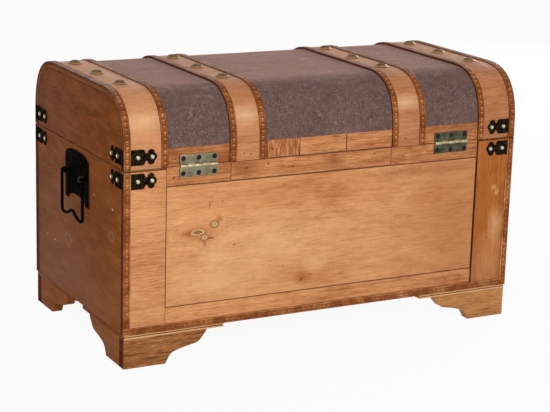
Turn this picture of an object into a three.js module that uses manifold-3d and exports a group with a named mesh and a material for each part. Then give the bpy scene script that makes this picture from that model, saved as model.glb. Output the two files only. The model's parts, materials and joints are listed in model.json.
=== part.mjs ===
// A flat-topped sea chest with a canvas-covered lid, wooden straps, leather trims, iron corner
// brackets, bail handles on the ends, two butt hinges, a lock, a lid stay and bracket feet.
// Millimetres, +Z up. The origin is on the floor under the middle of the chest.
// X runs along the chest, the hinges are on the +Y side and the lock is on the -Y side.

import * as THREE from 'three';
import { mergeVertices } from 'three/addons/utils/BufferGeometryUtils.js';
import Module from 'manifold-3d';

const wasm = await Module();
wasm.setup();

// Overall sizes, over the leather trims
const chestWidth = 710;
const chestDepth = 385;
const seamHeight = 313.8;
const lidHeight = 117;

// Clearances
const seat = 0.1;        // between flat pieces that lie on each other
const fit = 0.3;         // between pieces that are let into each other
const seamGap = 0.8;     // between the rims of the body and the lid
const jointGap = 0.8;    // open joint line round the panels
const overrun = 2;       // how far a cutting shape runs past what it cuts

// Boards
const wallThickness = 7;
const endThickness = 10;
const bottomThickness = 7;
const clothThickness = 1;
const strapThickness = 2.3;
const trimThickness = 1.9;
const trimWidth = 12;
const trimOverhang = 1.2;
const stileWidth = 71;
const topRailHeight = 29.4;
const bottomRailHeight = 36;
const lapWidth = 6.5;
const lidRailHeight = 29.1;
const bottomTrimHeight = 11.5;
const cornerRelief = 2.4;  // the stiles and trims stop this far under the seam

// Lid outline
const shoulderWidth = 90;
const shoulderDrop = 101;
const shoulderPower = 2.6;
const shoulderSteps = 11;

// Straps over the lid
const strapWidth = 62;
const strapSpacing = 104.5;   // clear between an end strap and the next, with a hinge in its middle
const endStrapWidth = 73;
const strapTrimWidth = 11;
const strapTrimOverhang = 0.2;
const buttonRadius = 9.3;
const buttonHeight = 3.6;
const buttonInset = 7.5;     // from where the lid's shoulder begins to the outer buttons
const buttonShares = [[1, 0], [1, 0.2], [0.86, 0.3], [0.72, 0.62], [0.42, 0.92]];

// Feet
const footHeight = 48;
const capThickness = 6;
const capSpacing = 39.8;     // between the cap plates of the two feet of one end
const capLip = 29;           // how far a cap plate runs on past the foot's boards
const footSole = 71;
const footBoard = 18;
const footInset = 1.6;
const ogeeSteps = 14;
const ogeeShares = [[0, 0], [0.08, 0.235], [0.19, 0.38], [0.47, 0.495], [0.75, 0.58], [0.85, 0.7], [0.94, 0.855],
  [1, 1]];

// Corner brackets
const bracketThickness = 0.9;
const bracketHeight = 24.3;
const bracketLeg = 54.5;
const bracketBody = 34;
const lobeRadius = 5.6;
const bracketLift = 7.4;     // from the seam up to the upper bracket
const bracketDrop = 5.2;     // from the seam down to the lower bracket
const nailRadius = 4.5;
const nailHeight = 2.5;
const nailPlaces = [23, 46.5];
const nailShares = [[1, 0], [0.8, 0.6], [0.4, 0.92]];

// Hinges
const hingeLength = 63.5;
const leafThickness = 1.4;
const leafHeight = 17.4;
const barrelRadius = 2.3;
const pinRadius = 1;
const pinClearance = 0.25;
const knuckleGap = 0.3;
const knuckleCount = 5;
const leafClearance = 0.35;
const hingeScrewRadius = 3.8;
const hingeScrewEdge = 5.6;
const hingeScrewDepth = 0.9;
const hingeScrewRow = 5.6;

// Lock
const caseWidth = 60;
const caseHeight = 34;
const caseThickness = 10;
const caseDrop = 2;          // from the rim down to the case
const casePocket = 14;       // the slot that the catch comes down into
const pocketShift = 2;
const pocketDepth = 24;
const boltLength = 17;
const boltHeight = 6;
const boltThickness = 5;
const boltDrop = 7.5;        // from the top of the case to the bolt
const catchWidth = 44;
const catchHeight = 11.5;
const catchThickness = 1.6;
const catchRise = 4;         // from the seam up to the catch's plate
const catchNeck = 22;
const stemWidth = 4;
const stemThickness = 4;
const hookReach = 6.4;
const hookHeight = 4;
const escutcheonWidth = 25;
const escutcheonHeight = 27;
const escutcheonThickness = 1;
const escutcheonPower = 1.5;
const keyholeRadius = 2.6;
const keyholeSlot = 1.1;
const keyholeLength = 7.5;

// End handles
const handleHeight = 268;
const handleStandoff = 9.4;
const plateHalfWidth = 51;
const plateThickness = 1.5;
const plateTop = 38;
const plateShoulder = 16;
const plateBottom = 46;
const archHalfWidth = 36;
const archRise = 11;
const plateArcPower = 2.3;
const plateArcSteps = 12;
const lugSpread = 38.2;
const lugThickness = 3;
const lugRadius = 5.2;
const lugRoot = 8;
const lugSteps = 6;
const ribDrop = 19.5;
const ribHalfLength = 42;
const ribRadius = 1.5;
const wireRadius = 2.4;
const wireSides = 8;
const wireSteps = 42;
const stubLength = 5;
const bailDrop = 71;
const bailArmGap = 4;
const gripRise = 11;
const gripShares = [[0.93, 0.93], [0.74, 1], [0.46, 0.95]];
const handleScrewSpread = 19;
const handleScrewRise = 22.5;
const handleScrewRadius = 3;
const handleScrewHeight = 1.6;

// Lid stay
const stayClearance = 33.7;  // from the arm's lower end to the bottom board
const stayRise = 10;        // degrees above the seam, from the hinge to the lid pivot
const stayFall = 20;        // degrees below the seam, from the hinge to the body pin
const lidOpening = 95;      // degrees
const stayWidth = 16;
const stayThickness = 1.6;
const stayPinRadius = 2.5;
const stayEnd = 12;
const stayGap = 0.4;
const stayPlateThickness = 2;
const stayPlateWidth = 16;
const stayPlateLength = 34;
const stayHeadRadius = 5.2;
const stayHeadThickness = 2;

// Round shapes are drawn with these many sides
const finePoints = 24;
const coarsePoints = 12;
const nailPoints = 8;

// Planes and heights that the pieces share
const halfWidth = chestWidth / 2;
const halfDepth = chestDepth / 2;
const lidTop = seamHeight + lidHeight;
const bodyBottom = footHeight + capThickness;
const bodyTop = seamHeight - seamGap / 2;
const lidBottom = seamHeight + seamGap / 2;
const stripInset = trimThickness + seat;
const railInset = stripInset + strapThickness + seat;
const shellInset = railInset + clothThickness + seat;
const innerInset = railInset + wallThickness;
const stripFace = halfDepth - stripInset;
const railFace = halfDepth - railInset;
const wallBack = halfDepth - innerInset;
const endFace = halfWidth - trimOverhang;
const endBack = endFace - endThickness;
const stileEdge = halfWidth - stileWidth;
const endStrapEdge = halfWidth - endStrapWidth;
const strapOffset = endStrapEdge - strapSpacing - strapWidth / 2;
const hingeOffset = endStrapEdge - strapSpacing / 2;
const buttonPitch = halfDepth - shoulderWidth - buttonInset;
const capReach = halfDepth - footInset - capSpacing / 2;
const footReach = capReach - capLip;
const stileTop = seamHeight - cornerRelief;
const railTop = lidBottom + lidRailHeight;
const bracketFace = stripFace + seat + bracketThickness;
const bracketEndFace = endFace + seat + bracketThickness;
const hingeAxis = railFace + seat + barrelRadius;

// Finishes
const finish = (color, roughness, metalness) => ({ color, roughness, metalness });
const pine = finish(0xc98f5f, 0.55, 0);
const darkPine = finish(0x8a5636, 0.55, 0);
const stripPine = finish(0xd09a69, 0.5, 0);
const innerPine = finish(0xc7a27a, 0.7, 0);
const leather = finish(0x8e4f2a, 0.5, 0);
const canvas = finish(0x6e5550, 0.95, 0);
const blackIron = finish(0x1d1b19, 0.45, 0.9);
const agedBrass = finish(0x85806a, 0.4, 0.9);
const steel = finish(0x9a9a98, 0.35, 0.9);

// Solids

// Turns a closed three.js geometry into a solid that can be joined and cut.
function solid(geometry) {
  geometry.deleteAttribute('normal');
  geometry.deleteAttribute('uv');
  const merged = mergeVertices(geometry);
  return new wasm.Manifold(new wasm.Mesh({
    numProp: 3,
    vertProperties: new Float32Array(merged.getAttribute('position').array),
    triVerts: new Uint32Array(merged.getIndex().array),
  }));
}

const vector = (x, y, z) => new THREE.Vector3(x, y, z);
const sorted = (range) => [...range].sort((a, b) => a - b);
const join = (...solids) => solids.reduce((whole, next) => whole.add(next));
const cut = (whole, ...tools) => tools.reduce((rest, tool) => rest.subtract(tool), whole);
const radians = THREE.MathUtils.degToRad;

function box(xs, ys, zs) {
  const [x, y, z] = [xs, ys, zs].map(sorted);
  const geometry = new THREE.BoxGeometry(x[1] - x[0], y[1] - y[0], z[1] - z[0]);
  geometry.translate((x[0] + x[1]) / 2, (y[0] + y[1]) / 2, (z[0] + z[1]) / 2);
  return solid(geometry);
}

// Draws an outline in the plane across an axis and pulls it along that axis. An outline across x
// is in (y, z), across y in (x, z) and across z in (x, y).
const planes = {
  x: new THREE.Matrix4().makeBasis(vector(0, 1, 0), vector(0, 0, 1), vector(1, 0, 0)),
  y: new THREE.Matrix4().makeBasis(vector(1, 0, 0), vector(0, 0, 1), vector(0, -1, 0)),
  z: new THREE.Matrix4(),
};

function prism(axis, range, outline, holes = []) {
  const [from, to] = sorted(range);
  const shape = new THREE.Shape(outline.map(([a, b]) => new THREE.Vector2(a, b)));
  shape.holes = holes.map((hole) => new THREE.Path(hole.map(([a, b]) => new THREE.Vector2(a, b))));
  const geometry = new THREE.ExtrudeGeometry(shape, { depth: to - from, bevelEnabled: false });
  geometry.applyMatrix4(planes[axis]);
  if (axis === 'x') geometry.translate(from, 0, 0);
  if (axis === 'y') geometry.translate(0, to, 0);
  if (axis === 'z') geometry.translate(0, 0, from);
  return solid(geometry);
}

// Points on an arc round (a, b), from one angle to another in radians, both ends included
function arc(radius, a, b, from, to, steps) {
  return Array.from({ length: steps + 1 }, (_, i) => {
    const angle = from + (i / steps) * (to - from);
    return [a + radius * Math.cos(angle), b + radius * Math.sin(angle)];
  });
}

function circle(radius, a, b, points) {
  return arc(radius, a, b, Math.PI / points, (2 - 1 / points) * Math.PI, points - 1);
}

function rod(axis, range, radius, a, b, points = coarsePoints) {
  return prism(axis, range, circle(radius, a, b, points));
}

// A round head with its foot at `place`, standing out along `direction`. Shares are of radius and height.
function dome(radius, height, shares, place, direction, points) {
  const profile = [[0, 0], ...shares, [0, 1]].map(([r, h]) => new THREE.Vector2(radius * r, height * h));
  const geometry = new THREE.LatheGeometry(profile, points);
  const turn = new THREE.Quaternion().setFromUnitVectors(vector(0, 1, 0), direction);
  geometry.applyQuaternion(turn);
  geometry.translate(place.x, place.y, place.z);
  return solid(geometry);
}

// The scene

const chest = new THREE.Group();
const body = new THREE.Group();
const lid = new THREE.Group();
chest.add(body, lid);

function piece(parent, name, shape, look) {
  const mesh = shape.getMesh();
  const geometry = new THREE.BufferGeometry();
  geometry.setAttribute('position', new THREE.BufferAttribute(new Float32Array(mesh.vertProperties), 3));
  geometry.setIndex(new THREE.BufferAttribute(new Uint32Array(mesh.triVerts), 1));
  geometry.computeVertexNormals();
  const result = new THREE.Mesh(geometry, new THREE.MeshStandardMaterial(look));
  result.name = name;
  parent.add(result);
  return result;
}

const ends = [['right', 1], ['left', -1]];
const sides = [['back', 1], ['front', -1]];
const corners = sides.flatMap(([side, sy]) => ends.map(([end, sx]) => [`${side}_${end}`, sx, sy]));
const times = (sign, range) => range.map((value) => sign * value);

// Body

// A board whose outer half has one outline and whose inner half has another, to lap its neighbours.
function lappedBoard(sy, outer, inner) {
  const middle = wallBack + wallThickness / 2;
  const common = { x: [Math.max(outer.x[0], inner.x[0]), Math.min(outer.x[1], inner.x[1])],
    z: [Math.max(outer.z[0], inner.z[0]), Math.min(outer.z[1], inner.z[1])] };
  return join(
    box(common.x, times(sy, [wallBack, railFace]), common.z),
    box(outer.x, times(sy, [middle + fit / 2, railFace]), outer.z),
    box(inner.x, times(sy, [wallBack, middle - fit / 2]), inner.z),
  );
}

const panelEdge = stileEdge - jointGap;
const panelTongue = panelEdge + lapWidth;
const panelLow = bodyBottom + bottomRailHeight;
const panelHigh = bodyTop - topRailHeight;
const mirrored = (value) => [-value, value];

function panel(sy) {
  return lappedBoard(sy,
    { x: mirrored(panelEdge), z: [panelLow + jointGap, panelHigh - jointGap] },
    { x: mirrored(panelTongue), z: [panelLow + jointGap - lapWidth, panelHigh - jointGap + lapWidth] });
}

function topRail(sy) {
  return lappedBoard(sy,
    { x: mirrored(panelEdge), z: [panelHigh, bodyTop] },
    { x: mirrored(panelTongue), z: [panelHigh - jointGap + lapWidth + fit, bodyTop] });
}

// The bottom rail has a thicker foot that brings the bottom trim out to the stiles.
function bottomRail(sy) {
  const board = lappedBoard(sy,
    { x: mirrored(panelEdge), z: [bodyBottom, panelLow] },
    { x: mirrored(panelTongue), z: [bodyBottom, panelLow + jointGap - lapWidth - fit] });
  return join(board, box(mirrored(panelEdge), times(sy, [wallBack + wallThickness / 2 + fit / 2, stripFace]),
    [bodyBottom, bodyBottom + bottomTrimHeight]));
}

function stile(sx, sy) {
  const middle = wallBack + wallThickness / 2;
  const core = box(times(sx, [stileEdge, endFace]), times(sy, [wallBack, railFace]), [bodyBottom, bodyTop]);
  const strip = box(times(sx, [stileEdge, endFace]), times(sy, [middle, stripFace]), [bodyBottom, stileTop]);
  const rebate = box(times(sx, [stileEdge - overrun, panelTongue + fit]),
    times(sy, [wallBack - overrun, middle + fit / 2]), [bodyBottom - overrun, bodyTop + overrun]);
  return cut(join(core, strip), rebate);
}

for (const [side, sy] of sides) {
  for (const [end, sx] of ends) piece(body, `${side}_stile_${end}`, stile(sx, sy), pine);
  piece(body, `${side}_top_rail`, topRail(sy), pine);
  piece(body, `${side}_bottom_rail`, bottomRail(sy), pine);
  piece(body, `${side}_panel`, panel(sy), pine);
}

for (const [end, sx] of ends) {
  piece(body, `end_board_${end}`,
    box(times(sx, [endBack, endFace]), mirrored(wallBack - fit), [bodyBottom, bodyTop]), darkPine);
}

piece(body, 'bottom_board',
  box(mirrored(endBack - fit), mirrored(wallBack - fit), [bodyBottom, bodyBottom + bottomThickness]), innerPine);

// Corner brackets: an L of thin plate round each corner. Each leg has a three-lobed end and two nails.

// One leg, drawn from the corner outwards. `plane` places a (distance, height) outline on its face.
function bracketLegPlan(middle, place) {
  const half = bracketHeight / 2;
  const lobe = bracketLeg - lobeRadius;
  const sideLobe = lobe - lobeRadius / 2;
  const lobes = [[lobe, 0], [sideLobe, half - lobeRadius], [sideLobe, lobeRadius - half]];
  const bar = place([[0, middle - half], [bracketBody, middle - half], [bracketBody, middle + half],
    [0, middle + half]]);
  const neck = half / 2;
  const web = place([[0, middle - neck], [lobe, middle - neck], [lobe, middle + neck], [0, middle + neck]]);
  const rounds = lobes.map(([distance, height]) => place(
    circle(lobeRadius, distance, middle + height, coarsePoints)));
  return join(bar, web, ...rounds);
}

function cornerBracket(sx, sy, low) {
  const middle = low + bracketHeight / 2;
  const backLeg = bracketLegPlan(middle, (outline) => prism('y', times(sy, [stripFace + seat, bracketFace]),
    outline.map(([distance, height]) => [sx * (bracketEndFace - distance), height])));
  const endLeg = bracketLegPlan(middle, (outline) => prism('x', times(sx, [endFace + seat, bracketEndFace]),
    outline.map(([distance, height]) => [sy * (bracketFace - distance), height])));
  const nails = nailPlaces.flatMap((distance) => [
    dome(nailRadius, nailHeight, nailShares,
      vector(sx * (bracketEndFace - distance), sy * (bracketFace - seat), middle),
      vector(0, sy, 0), nailPoints),
    dome(nailRadius, nailHeight, nailShares,
      vector(sx * (bracketEndFace - seat), sy * (bracketFace - distance), middle),
      vector(sx, 0, 0), nailPoints)]);
  return join(backLeg, endLeg, ...nails);
}

const lowerBracket = seamHeight - bracketDrop - bracketHeight;
const upperBracket = seamHeight + bracketLift;

// The trims pass over the brackets, so each has a hollow where one lies under it.
function bracketHollow(sx, sy, low) {
  return box(times(sx, [halfWidth - trimWidth - overrun, halfWidth + overrun]),
    times(sy, [stripFace - overrun, bracketFace + seat]), [low - fit, low + bracketHeight + fit]);
}

for (const [corner, sx, sy] of corners) {
  piece(body, `body_bracket_${corner}`, cornerBracket(sx, sy, lowerBracket), blackIron);
  piece(lid, `lid_bracket_${corner}`, cornerBracket(sx, sy, upperBracket), blackIron);
}

// Leather edging of the body: up both corners and along the bottom, in one piece on each side.
for (const [side, sy] of sides) {
  const depths = times(sy, [stripFace + seat, halfDepth]);
  const uprights = ends.map(([, sx]) => box(times(sx, [halfWidth - trimWidth, halfWidth]), depths,
    [bodyBottom, stileTop]));
  const foot = box(mirrored(halfWidth), depths, [bodyBottom, bodyBottom + bottomTrimHeight]);
  const hollows = ends.map(([, sx]) => bracketHollow(sx, sy, lowerBracket));
  piece(body, `body_edging_${side}`, cut(join(foot, ...uprights), ...hollows), leather);
}

// Feet: two ogee bracket boards under a square cap plate.

function footOutline(sign, face) {
  const curve = new THREE.SplineCurve(ogeeShares.map(([along, up]) => new THREE.Vector2(
    footSole + along * (footReach - footSole), up * footHeight)));
  const ogee = curve.getPoints(ogeeSteps).map(({ x, y }) => [sign * (face - x), y]);
  return [[sign * face, 0], ...ogee, [sign * face, footHeight]];
}

function foot(sx, sy) {
  const xFace = halfWidth - footInset;
  const yFace = halfDepth - footInset;
  const longBoard = prism('y', times(sy, [yFace - footBoard, yFace]), footOutline(sx, xFace));
  const sideBoard = prism('x', times(sx, [xFace - footBoard, xFace]), footOutline(sy, yFace));
  const cap = box(times(sx, [xFace - capReach, xFace]), times(sy, [yFace - capReach, yFace]),
    [footHeight, bodyBottom - seat]);
  return join(longBoard, sideBoard, cap);
}

for (const [corner, sx, sy] of corners) piece(body, `foot_${corner}`, foot(sx, sy), stripPine);

// Lid

// The section of the lid, set in from the outer face of the trims, from the back seam over to the front seam.
function arch(inset) {
  const shoulder = Array.from({ length: shoulderSteps + 1 }, (_, i) => {
    const angle = (i / shoulderSteps) * Math.PI / 2;
    const power = 2 / shoulderPower;
    return [halfDepth - shoulderWidth + (shoulderWidth - inset) * Math.cos(angle) ** power,
      lidTop - shoulderDrop + (shoulderDrop - inset) * Math.sin(angle) ** power];
  });
  const back = [[halfDepth - inset, lidBottom], ...shoulder];
  return [...back, ...back.map(([y, z]) => [-y, z]).reverse()];
}

function band(inset, thickness, xs) {
  return prism('x', xs, [...arch(inset), ...arch(inset + thickness).reverse()]);
}

const belowRails = box(mirrored(halfWidth + overrun), mirrored(halfDepth), [lidBottom - overrun, railTop + seat]);
const shell = band(shellInset, innerInset - shellInset, mirrored(endFace));
const cloth = band(railInset, clothThickness, mirrored(endFace - trimWidth));

piece(lid, 'lid_shell', cut(shell, belowRails), innerPine);
piece(lid, 'lid_cloth', cut(cloth, belowRails), canvas);

for (const [side, sy] of sides) {
  const slice = box(mirrored(halfWidth), times(sy, [0, halfDepth]), [lidBottom - overrun, railTop]);
  const whole = band(railInset, innerInset - railInset, mirrored(endFace));
  piece(lid, `lid_rail_${side}`, whole.intersect(slice), pine);
}
for (const [end, sx] of ends) {
  piece(lid, `lid_end_${end}`, prism('x', times(sx, [endBack, endFace]), arch(innerInset + fit)), darkPine);
}

// Straps over the lid, each with three button heads along its top
const straps = [
  ['right_end', [endStrapEdge, endFace]],
  ['right', [strapOffset - strapWidth / 2, strapOffset + strapWidth / 2]],
  ['left', [-strapOffset - strapWidth / 2, -strapOffset + strapWidth / 2]],
  ['left_end', [-endFace, -endStrapEdge]],
];

function strap(xs) {
  const middle = (xs[0] + xs[1]) / 2;
  const buttons = [-1, 0, 1].map((step) => dome(buttonRadius, buttonHeight, buttonShares,
    vector(middle, step * buttonPitch, lidTop - stripInset - seat), vector(0, 0, 1),
    coarsePoints));
  return join(band(stripInset, strapThickness, xs), ...buttons);
}

// A leather trim on each edge of a strap. On the end straps the outer one is as wide as the edging below it.
function trimRanges([low, high]) {
  const lowIsEnd = low <= -endFace;
  const highIsEnd = high >= endFace;
  const lowEdge = lowIsEnd
    ? [-halfWidth, -halfWidth + trimWidth] : [low - strapTrimOverhang, low + strapTrimWidth];
  const highEdge = highIsEnd
    ? [halfWidth - trimWidth, halfWidth] : [high - strapTrimWidth, high + strapTrimOverhang];
  return [['a', highEdge, highIsEnd ? 1 : 0], ['b', lowEdge, lowIsEnd ? -1 : 0]];
}

for (const [name, xs] of straps) {
  piece(lid, `strap_${name}`, strap(xs), stripPine);
  for (const [edge, range, sx] of trimRanges(xs)) {
    const hollows = sx ? sides.map(([, sy]) => bracketHollow(sx, sy, upperBracket)) : [];
    piece(lid, `strap_trim_${name}_${edge}`, cut(band(0, trimThickness, range), ...hollows), leather);
  }
}

// Butt hinges. The leaves lie on the rails, and the barrel stands outside them on the seam.

function hingeLeaf(middle, sz, hasPin) {
  const low = middle - hingeLength / 2;
  const pitch = hingeLength / knuckleCount;
  const leafEdge = seamHeight + sz * (barrelRadius + leafClearance);
  const face = [railFace + seat, railFace + seat + leafThickness];
  const plate = box([low, low + hingeLength], face, [leafEdge, seamHeight + sz * leafHeight]);
  const own = Array.from({ length: knuckleCount }, (_, i) => i).filter((i) => (i % 2 === 0) === hasPin);
  const knuckles = own.map((i) => {
    const xs = [low + i * pitch + knuckleGap / 2, low + (i + 1) * pitch - knuckleGap / 2];
    const tab = box(xs, face, [seamHeight, leafEdge + sz * leafClearance]);
    return join(tab, rod('x', xs, barrelRadius, hingeAxis, seamHeight));
  });
  const screwRows = [-1, 0, 1].map((step) => middle + step * (hingeLength / 2 - hingeScrewEdge));
  const sinks = screwRows.map((x) => rod('y', [face[1] - hingeScrewDepth, face[1] + overrun], hingeScrewRadius,
    x, seamHeight + sz * (leafHeight - hingeScrewRow)));
  const leaf = cut(join(plate, ...knuckles), ...sinks);
  const pinRange = [low + knuckleGap / 2, low + hingeLength - knuckleGap / 2];
  return hasPin
    ? join(leaf, rod('x', pinRange, pinRadius, hingeAxis, seamHeight))
    : cut(leaf, rod('x', [low - overrun, low + hingeLength + overrun], pinRadius + pinClearance,
      hingeAxis, seamHeight));
}

for (const [end, sx] of ends) {
  piece(body, `hinge_body_leaf_${end}`, hingeLeaf(sx * hingeOffset, -1, true), agedBrass);
  piece(lid, `hinge_lid_leaf_${end}`, hingeLeaf(sx * hingeOffset, 1, false), agedBrass);
}

// Lock: a case behind the front rail, with a bolt that slides over the foot of a hooked catch on the lid.

const caseTop = bodyTop - caseDrop;
const caseBack = wallBack - seat;
const lockMiddle = caseBack - caseThickness / 2;
const pocketRight = pocketShift + casePocket / 2;
const pocketLeft = pocketShift - casePocket / 2;
const boltTop = caseTop - boltDrop;
const boltEnd = pocketRight + fit + boltLength;

function lockCase() {
  const block = box(mirrored(caseWidth / 2), [-caseBack, caseThickness - caseBack],
    [caseTop - caseHeight, caseTop]);
  const pocketHalf = caseThickness / 2 - catchThickness;
  const pocket = box([pocketLeft, pocketRight], [-lockMiddle - pocketHalf, -lockMiddle + pocketHalf],
    [caseTop - pocketDepth, caseTop + overrun]);
  const channelHalf = boltThickness / 2 + fit;
  const channel = box([pocketRight - overrun, boltEnd + fit],
    [-lockMiddle - channelHalf, -lockMiddle + channelHalf],
    [boltTop - boltHeight - fit, boltTop + fit]);
  return cut(block, pocket, channel);
}

function lockBolt() {
  return box([pocketRight + fit, boltEnd], [-lockMiddle - boltThickness / 2, -lockMiddle + boltThickness / 2],
    [boltTop - boltHeight, boltTop]);
}

function lockCatch() {
  const low = seamHeight + catchRise;
  const stemRight = pocketLeft + stemWidth + fit * 2;
  const stem = [pocketLeft + fit * 2, stemRight];
  const depths = [-lockMiddle - stemThickness / 2, -lockMiddle + stemThickness / 2];
  const hookTop = boltTop - boltHeight - fit * 2;
  return join(
    box(mirrored(catchWidth / 2), [-caseBack, catchThickness - caseBack], [low, low + catchHeight]),
    box(mirrored(catchNeck / 2), [-caseBack, depths[1]], [low, low + hookHeight]),
    box(stem, depths, [hookTop - hookHeight, low + hookHeight]),
    box([stem[0], stemRight + hookReach], depths, [hookTop - hookHeight, hookTop]),
  );
}

function escutcheon() {
  const middle = boltTop - boltHeight / 2;
  const bow = (value) => Math.sign(value) * Math.abs(value) ** escutcheonPower;
  const rim = circle(1, 0, 0, finePoints).map(([a, b]) => [bow(a) * escutcheonWidth / 2,
    middle + bow(b) * escutcheonHeight / 2]);
  const half = Math.asin(keyholeSlot / keyholeRadius);
  const round = arc(keyholeRadius, 0, middle, half - Math.PI / 2, 3 * Math.PI / 2 - half, coarsePoints);
  const hole = [...round, [-keyholeSlot, middle - keyholeLength], [keyholeSlot, middle - keyholeLength]];
  return prism('y', [-(railFace + seat), -(railFace + seat + escutcheonThickness)], rim, [hole]);
}

piece(body, 'lock_case', lockCase(), blackIron);
piece(body, 'lock_bolt', lockBolt(), steel);
piece(lid, 'lock_catch', lockCatch(), blackIron);
piece(body, 'lock_escutcheon', escutcheon(), agedBrass);

// End handles, drawn for the +X end with the bail's axis in the middle, and turned round for the other.

function handlePlate() {
  const back = seat - handleStandoff;
  const steps = Array.from({ length: plateArcSteps + 1 }, (_, i) => 1 - (2 * i) / plateArcSteps);
  const bow = (share) => (1 - Math.abs(share) ** plateArcPower) ** (1 / plateArcPower);
  const top = steps.map((share) => [share * plateHalfWidth,
    plateTop - plateShoulder + plateShoulder * bow(share)]);
  const bottom = steps.map((share) => [-share * archHalfWidth, archRise * bow(share) - plateBottom]);
  const plate = prism('x', [back, back + plateThickness],
    [[plateHalfWidth, -plateBottom], ...top, [-plateHalfWidth, -plateBottom], ...bottom]);
  const lugOutline = [[back + seat, lugRoot], ...arc(lugRadius, 0, 0, Math.PI / 2, -Math.PI / 2, lugSteps),
    [back + seat, -lugRoot]];
  const lugs = [1, -1].map((sy) => prism('y', times(sy, [lugSpread - lugThickness, lugSpread]), lugOutline,
    [circle(wireRadius + fit, 0, 0, coarsePoints)]));
  const rib = rod('y', mirrored(ribHalfLength), ribRadius, back + plateThickness - seat, -ribDrop, wireSides);
  const screws = [1, -1].map((sy) => dome(handleScrewRadius, handleScrewHeight, nailShares,
    vector(back + plateThickness - seat, sy * handleScrewSpread, handleScrewRise),
    vector(1, 0, 0), nailPoints));
  return join(plate, ...lugs, rib, ...screws);
}

// The bail is one bent wire: a stub through each lug, two arms and a grip that rises in the middle.
function bail() {
  const arm = lugSpread + bailArmGap + wireRadius;
  const half = [
    [lugSpread - stubLength, 0], [lugSpread, 0], [arm - wireRadius, 0],
    [arm, -wireRadius], [arm, -bailDrop / 2], [arm, wireRadius * 2 - bailDrop],
    ...gripShares.map(([across, down]) => [arm * across, -bailDrop * down]),
    [arm * gripShares[2][0] / 2, gripRise / 2 - bailDrop],
  ];
  const points = [...half, [0, gripRise - bailDrop], ...half.map(([y, z]) => [-y, z]).reverse()];
  const path = new THREE.CatmullRomCurve3(points.map(([y, z]) => vector(0, y, z)), false, 'centripetal');
  const round = circle(wireRadius, 0, 0, wireSides).map(([a, b]) => new THREE.Vector2(a, b));
  const section = new THREE.Shape(round);
  return solid(new THREE.ExtrudeGeometry(section, { steps: wireSteps, extrudePath: path }));
}

for (const [end, sx] of ends) {
  const handle = new THREE.Group();
  handle.position.set(sx * (endFace + handleStandoff), 0, handleHeight);
  handle.rotation.z = sx > 0 ? 0 : Math.PI;
  piece(handle, `handle_plate_${end}`, handlePlate(), blackIron);
  piece(handle, `handle_bail_${end}`, bail(), blackIron);
  body.add(handle);
}

// Lid stay. Its lid pivot and its body pin are equally far from the hinge, so the slotted arm turns by half
// the angle of the lid and the pin runs straight along the slot.

const stayTilt = radians((stayFall - stayRise) / 2);
const stayShare = (degrees) => 2 * Math.sin(radians(degrees) / 2);
const openShare = stayShare(stayRise + stayFall + lidOpening);
const stayRadius = (seamHeight - bodyBottom - bottomThickness - stayClearance - stayEnd * Math.cos(stayTilt))
  / (openShare * Math.cos(stayTilt) - Math.sin(radians(stayRise)));
const stayPoint = (degrees) => ({ y: hingeAxis - stayRadius * Math.cos(radians(degrees)),
  z: seamHeight + stayRadius * Math.sin(radians(degrees)) });
const lidPivot = stayPoint(stayRise);
const bodyPin = stayPoint(-stayFall);
const slotStart = stayRadius * stayShare(stayRise + stayFall);
const slotEnd = stayRadius * openShare;
const stayPlateFace = endBack - seat - stayPlateThickness;
const armFace = stayPlateFace - stayGap;
const headFace = armFace - stayThickness - stayGap;

function roundedBar(halfWide, low, high) {
  const steps = coarsePoints / 2;
  return [...arc(halfWide, 0, high, 0, Math.PI, steps), ...arc(halfWide, 0, low, Math.PI, 2 * Math.PI, steps)];
}

function stayArm() {
  const slot = roundedBar(stayPinRadius + fit, -slotEnd, -slotStart);
  const eye = circle(stayPinRadius + fit, 0, 0, coarsePoints);
  return prism('x', [-stayThickness, 0], roundedBar(stayWidth / 2, -(slotEnd + stayEnd - stayWidth / 2), 0),
    [slot, eye]);
}

function stayMount({ y, z }) {
  const reach = (stayPlateLength - stayPlateWidth) / 2;
  const plate = prism('x', [stayPlateFace, endBack - seat],
    roundedBar(stayPlateWidth / 2, -reach, reach).map(([a, b]) => [y + b, z + a]));
  const shank = rod('x', [headFace - seat, stayPlateFace + seat], stayPinRadius, y, z);
  const head = rod('x', [headFace - stayHeadThickness, headFace], stayHeadRadius, y, z, finePoints);
  return join(plate, shank, head);
}

piece(lid, 'stay_lid_pivot', stayMount(lidPivot), steel);
piece(body, 'stay_body_pin', stayMount(bodyPin), steel);
const arm = piece(lid, 'stay_arm', stayArm(), steel);
arm.position.set(armFace, lidPivot.y, lidPivot.z);
arm.rotation.x = Math.atan2(bodyPin.y - lidPivot.y, lidPivot.z - bodyPin.z);

export default chest;
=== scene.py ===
"""A sea chest under a low, round-shouldered lid: stained pine boards, canvas under wooden straps, embossed
leather trims, hammered corner brackets, bail handles, butt hinges, a lock and a lid stay. Metres, +Z up."""

import itertools
import json
import math
from functools import partial

import bmesh
import bpy
from mathutils import Matrix, Vector

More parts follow.
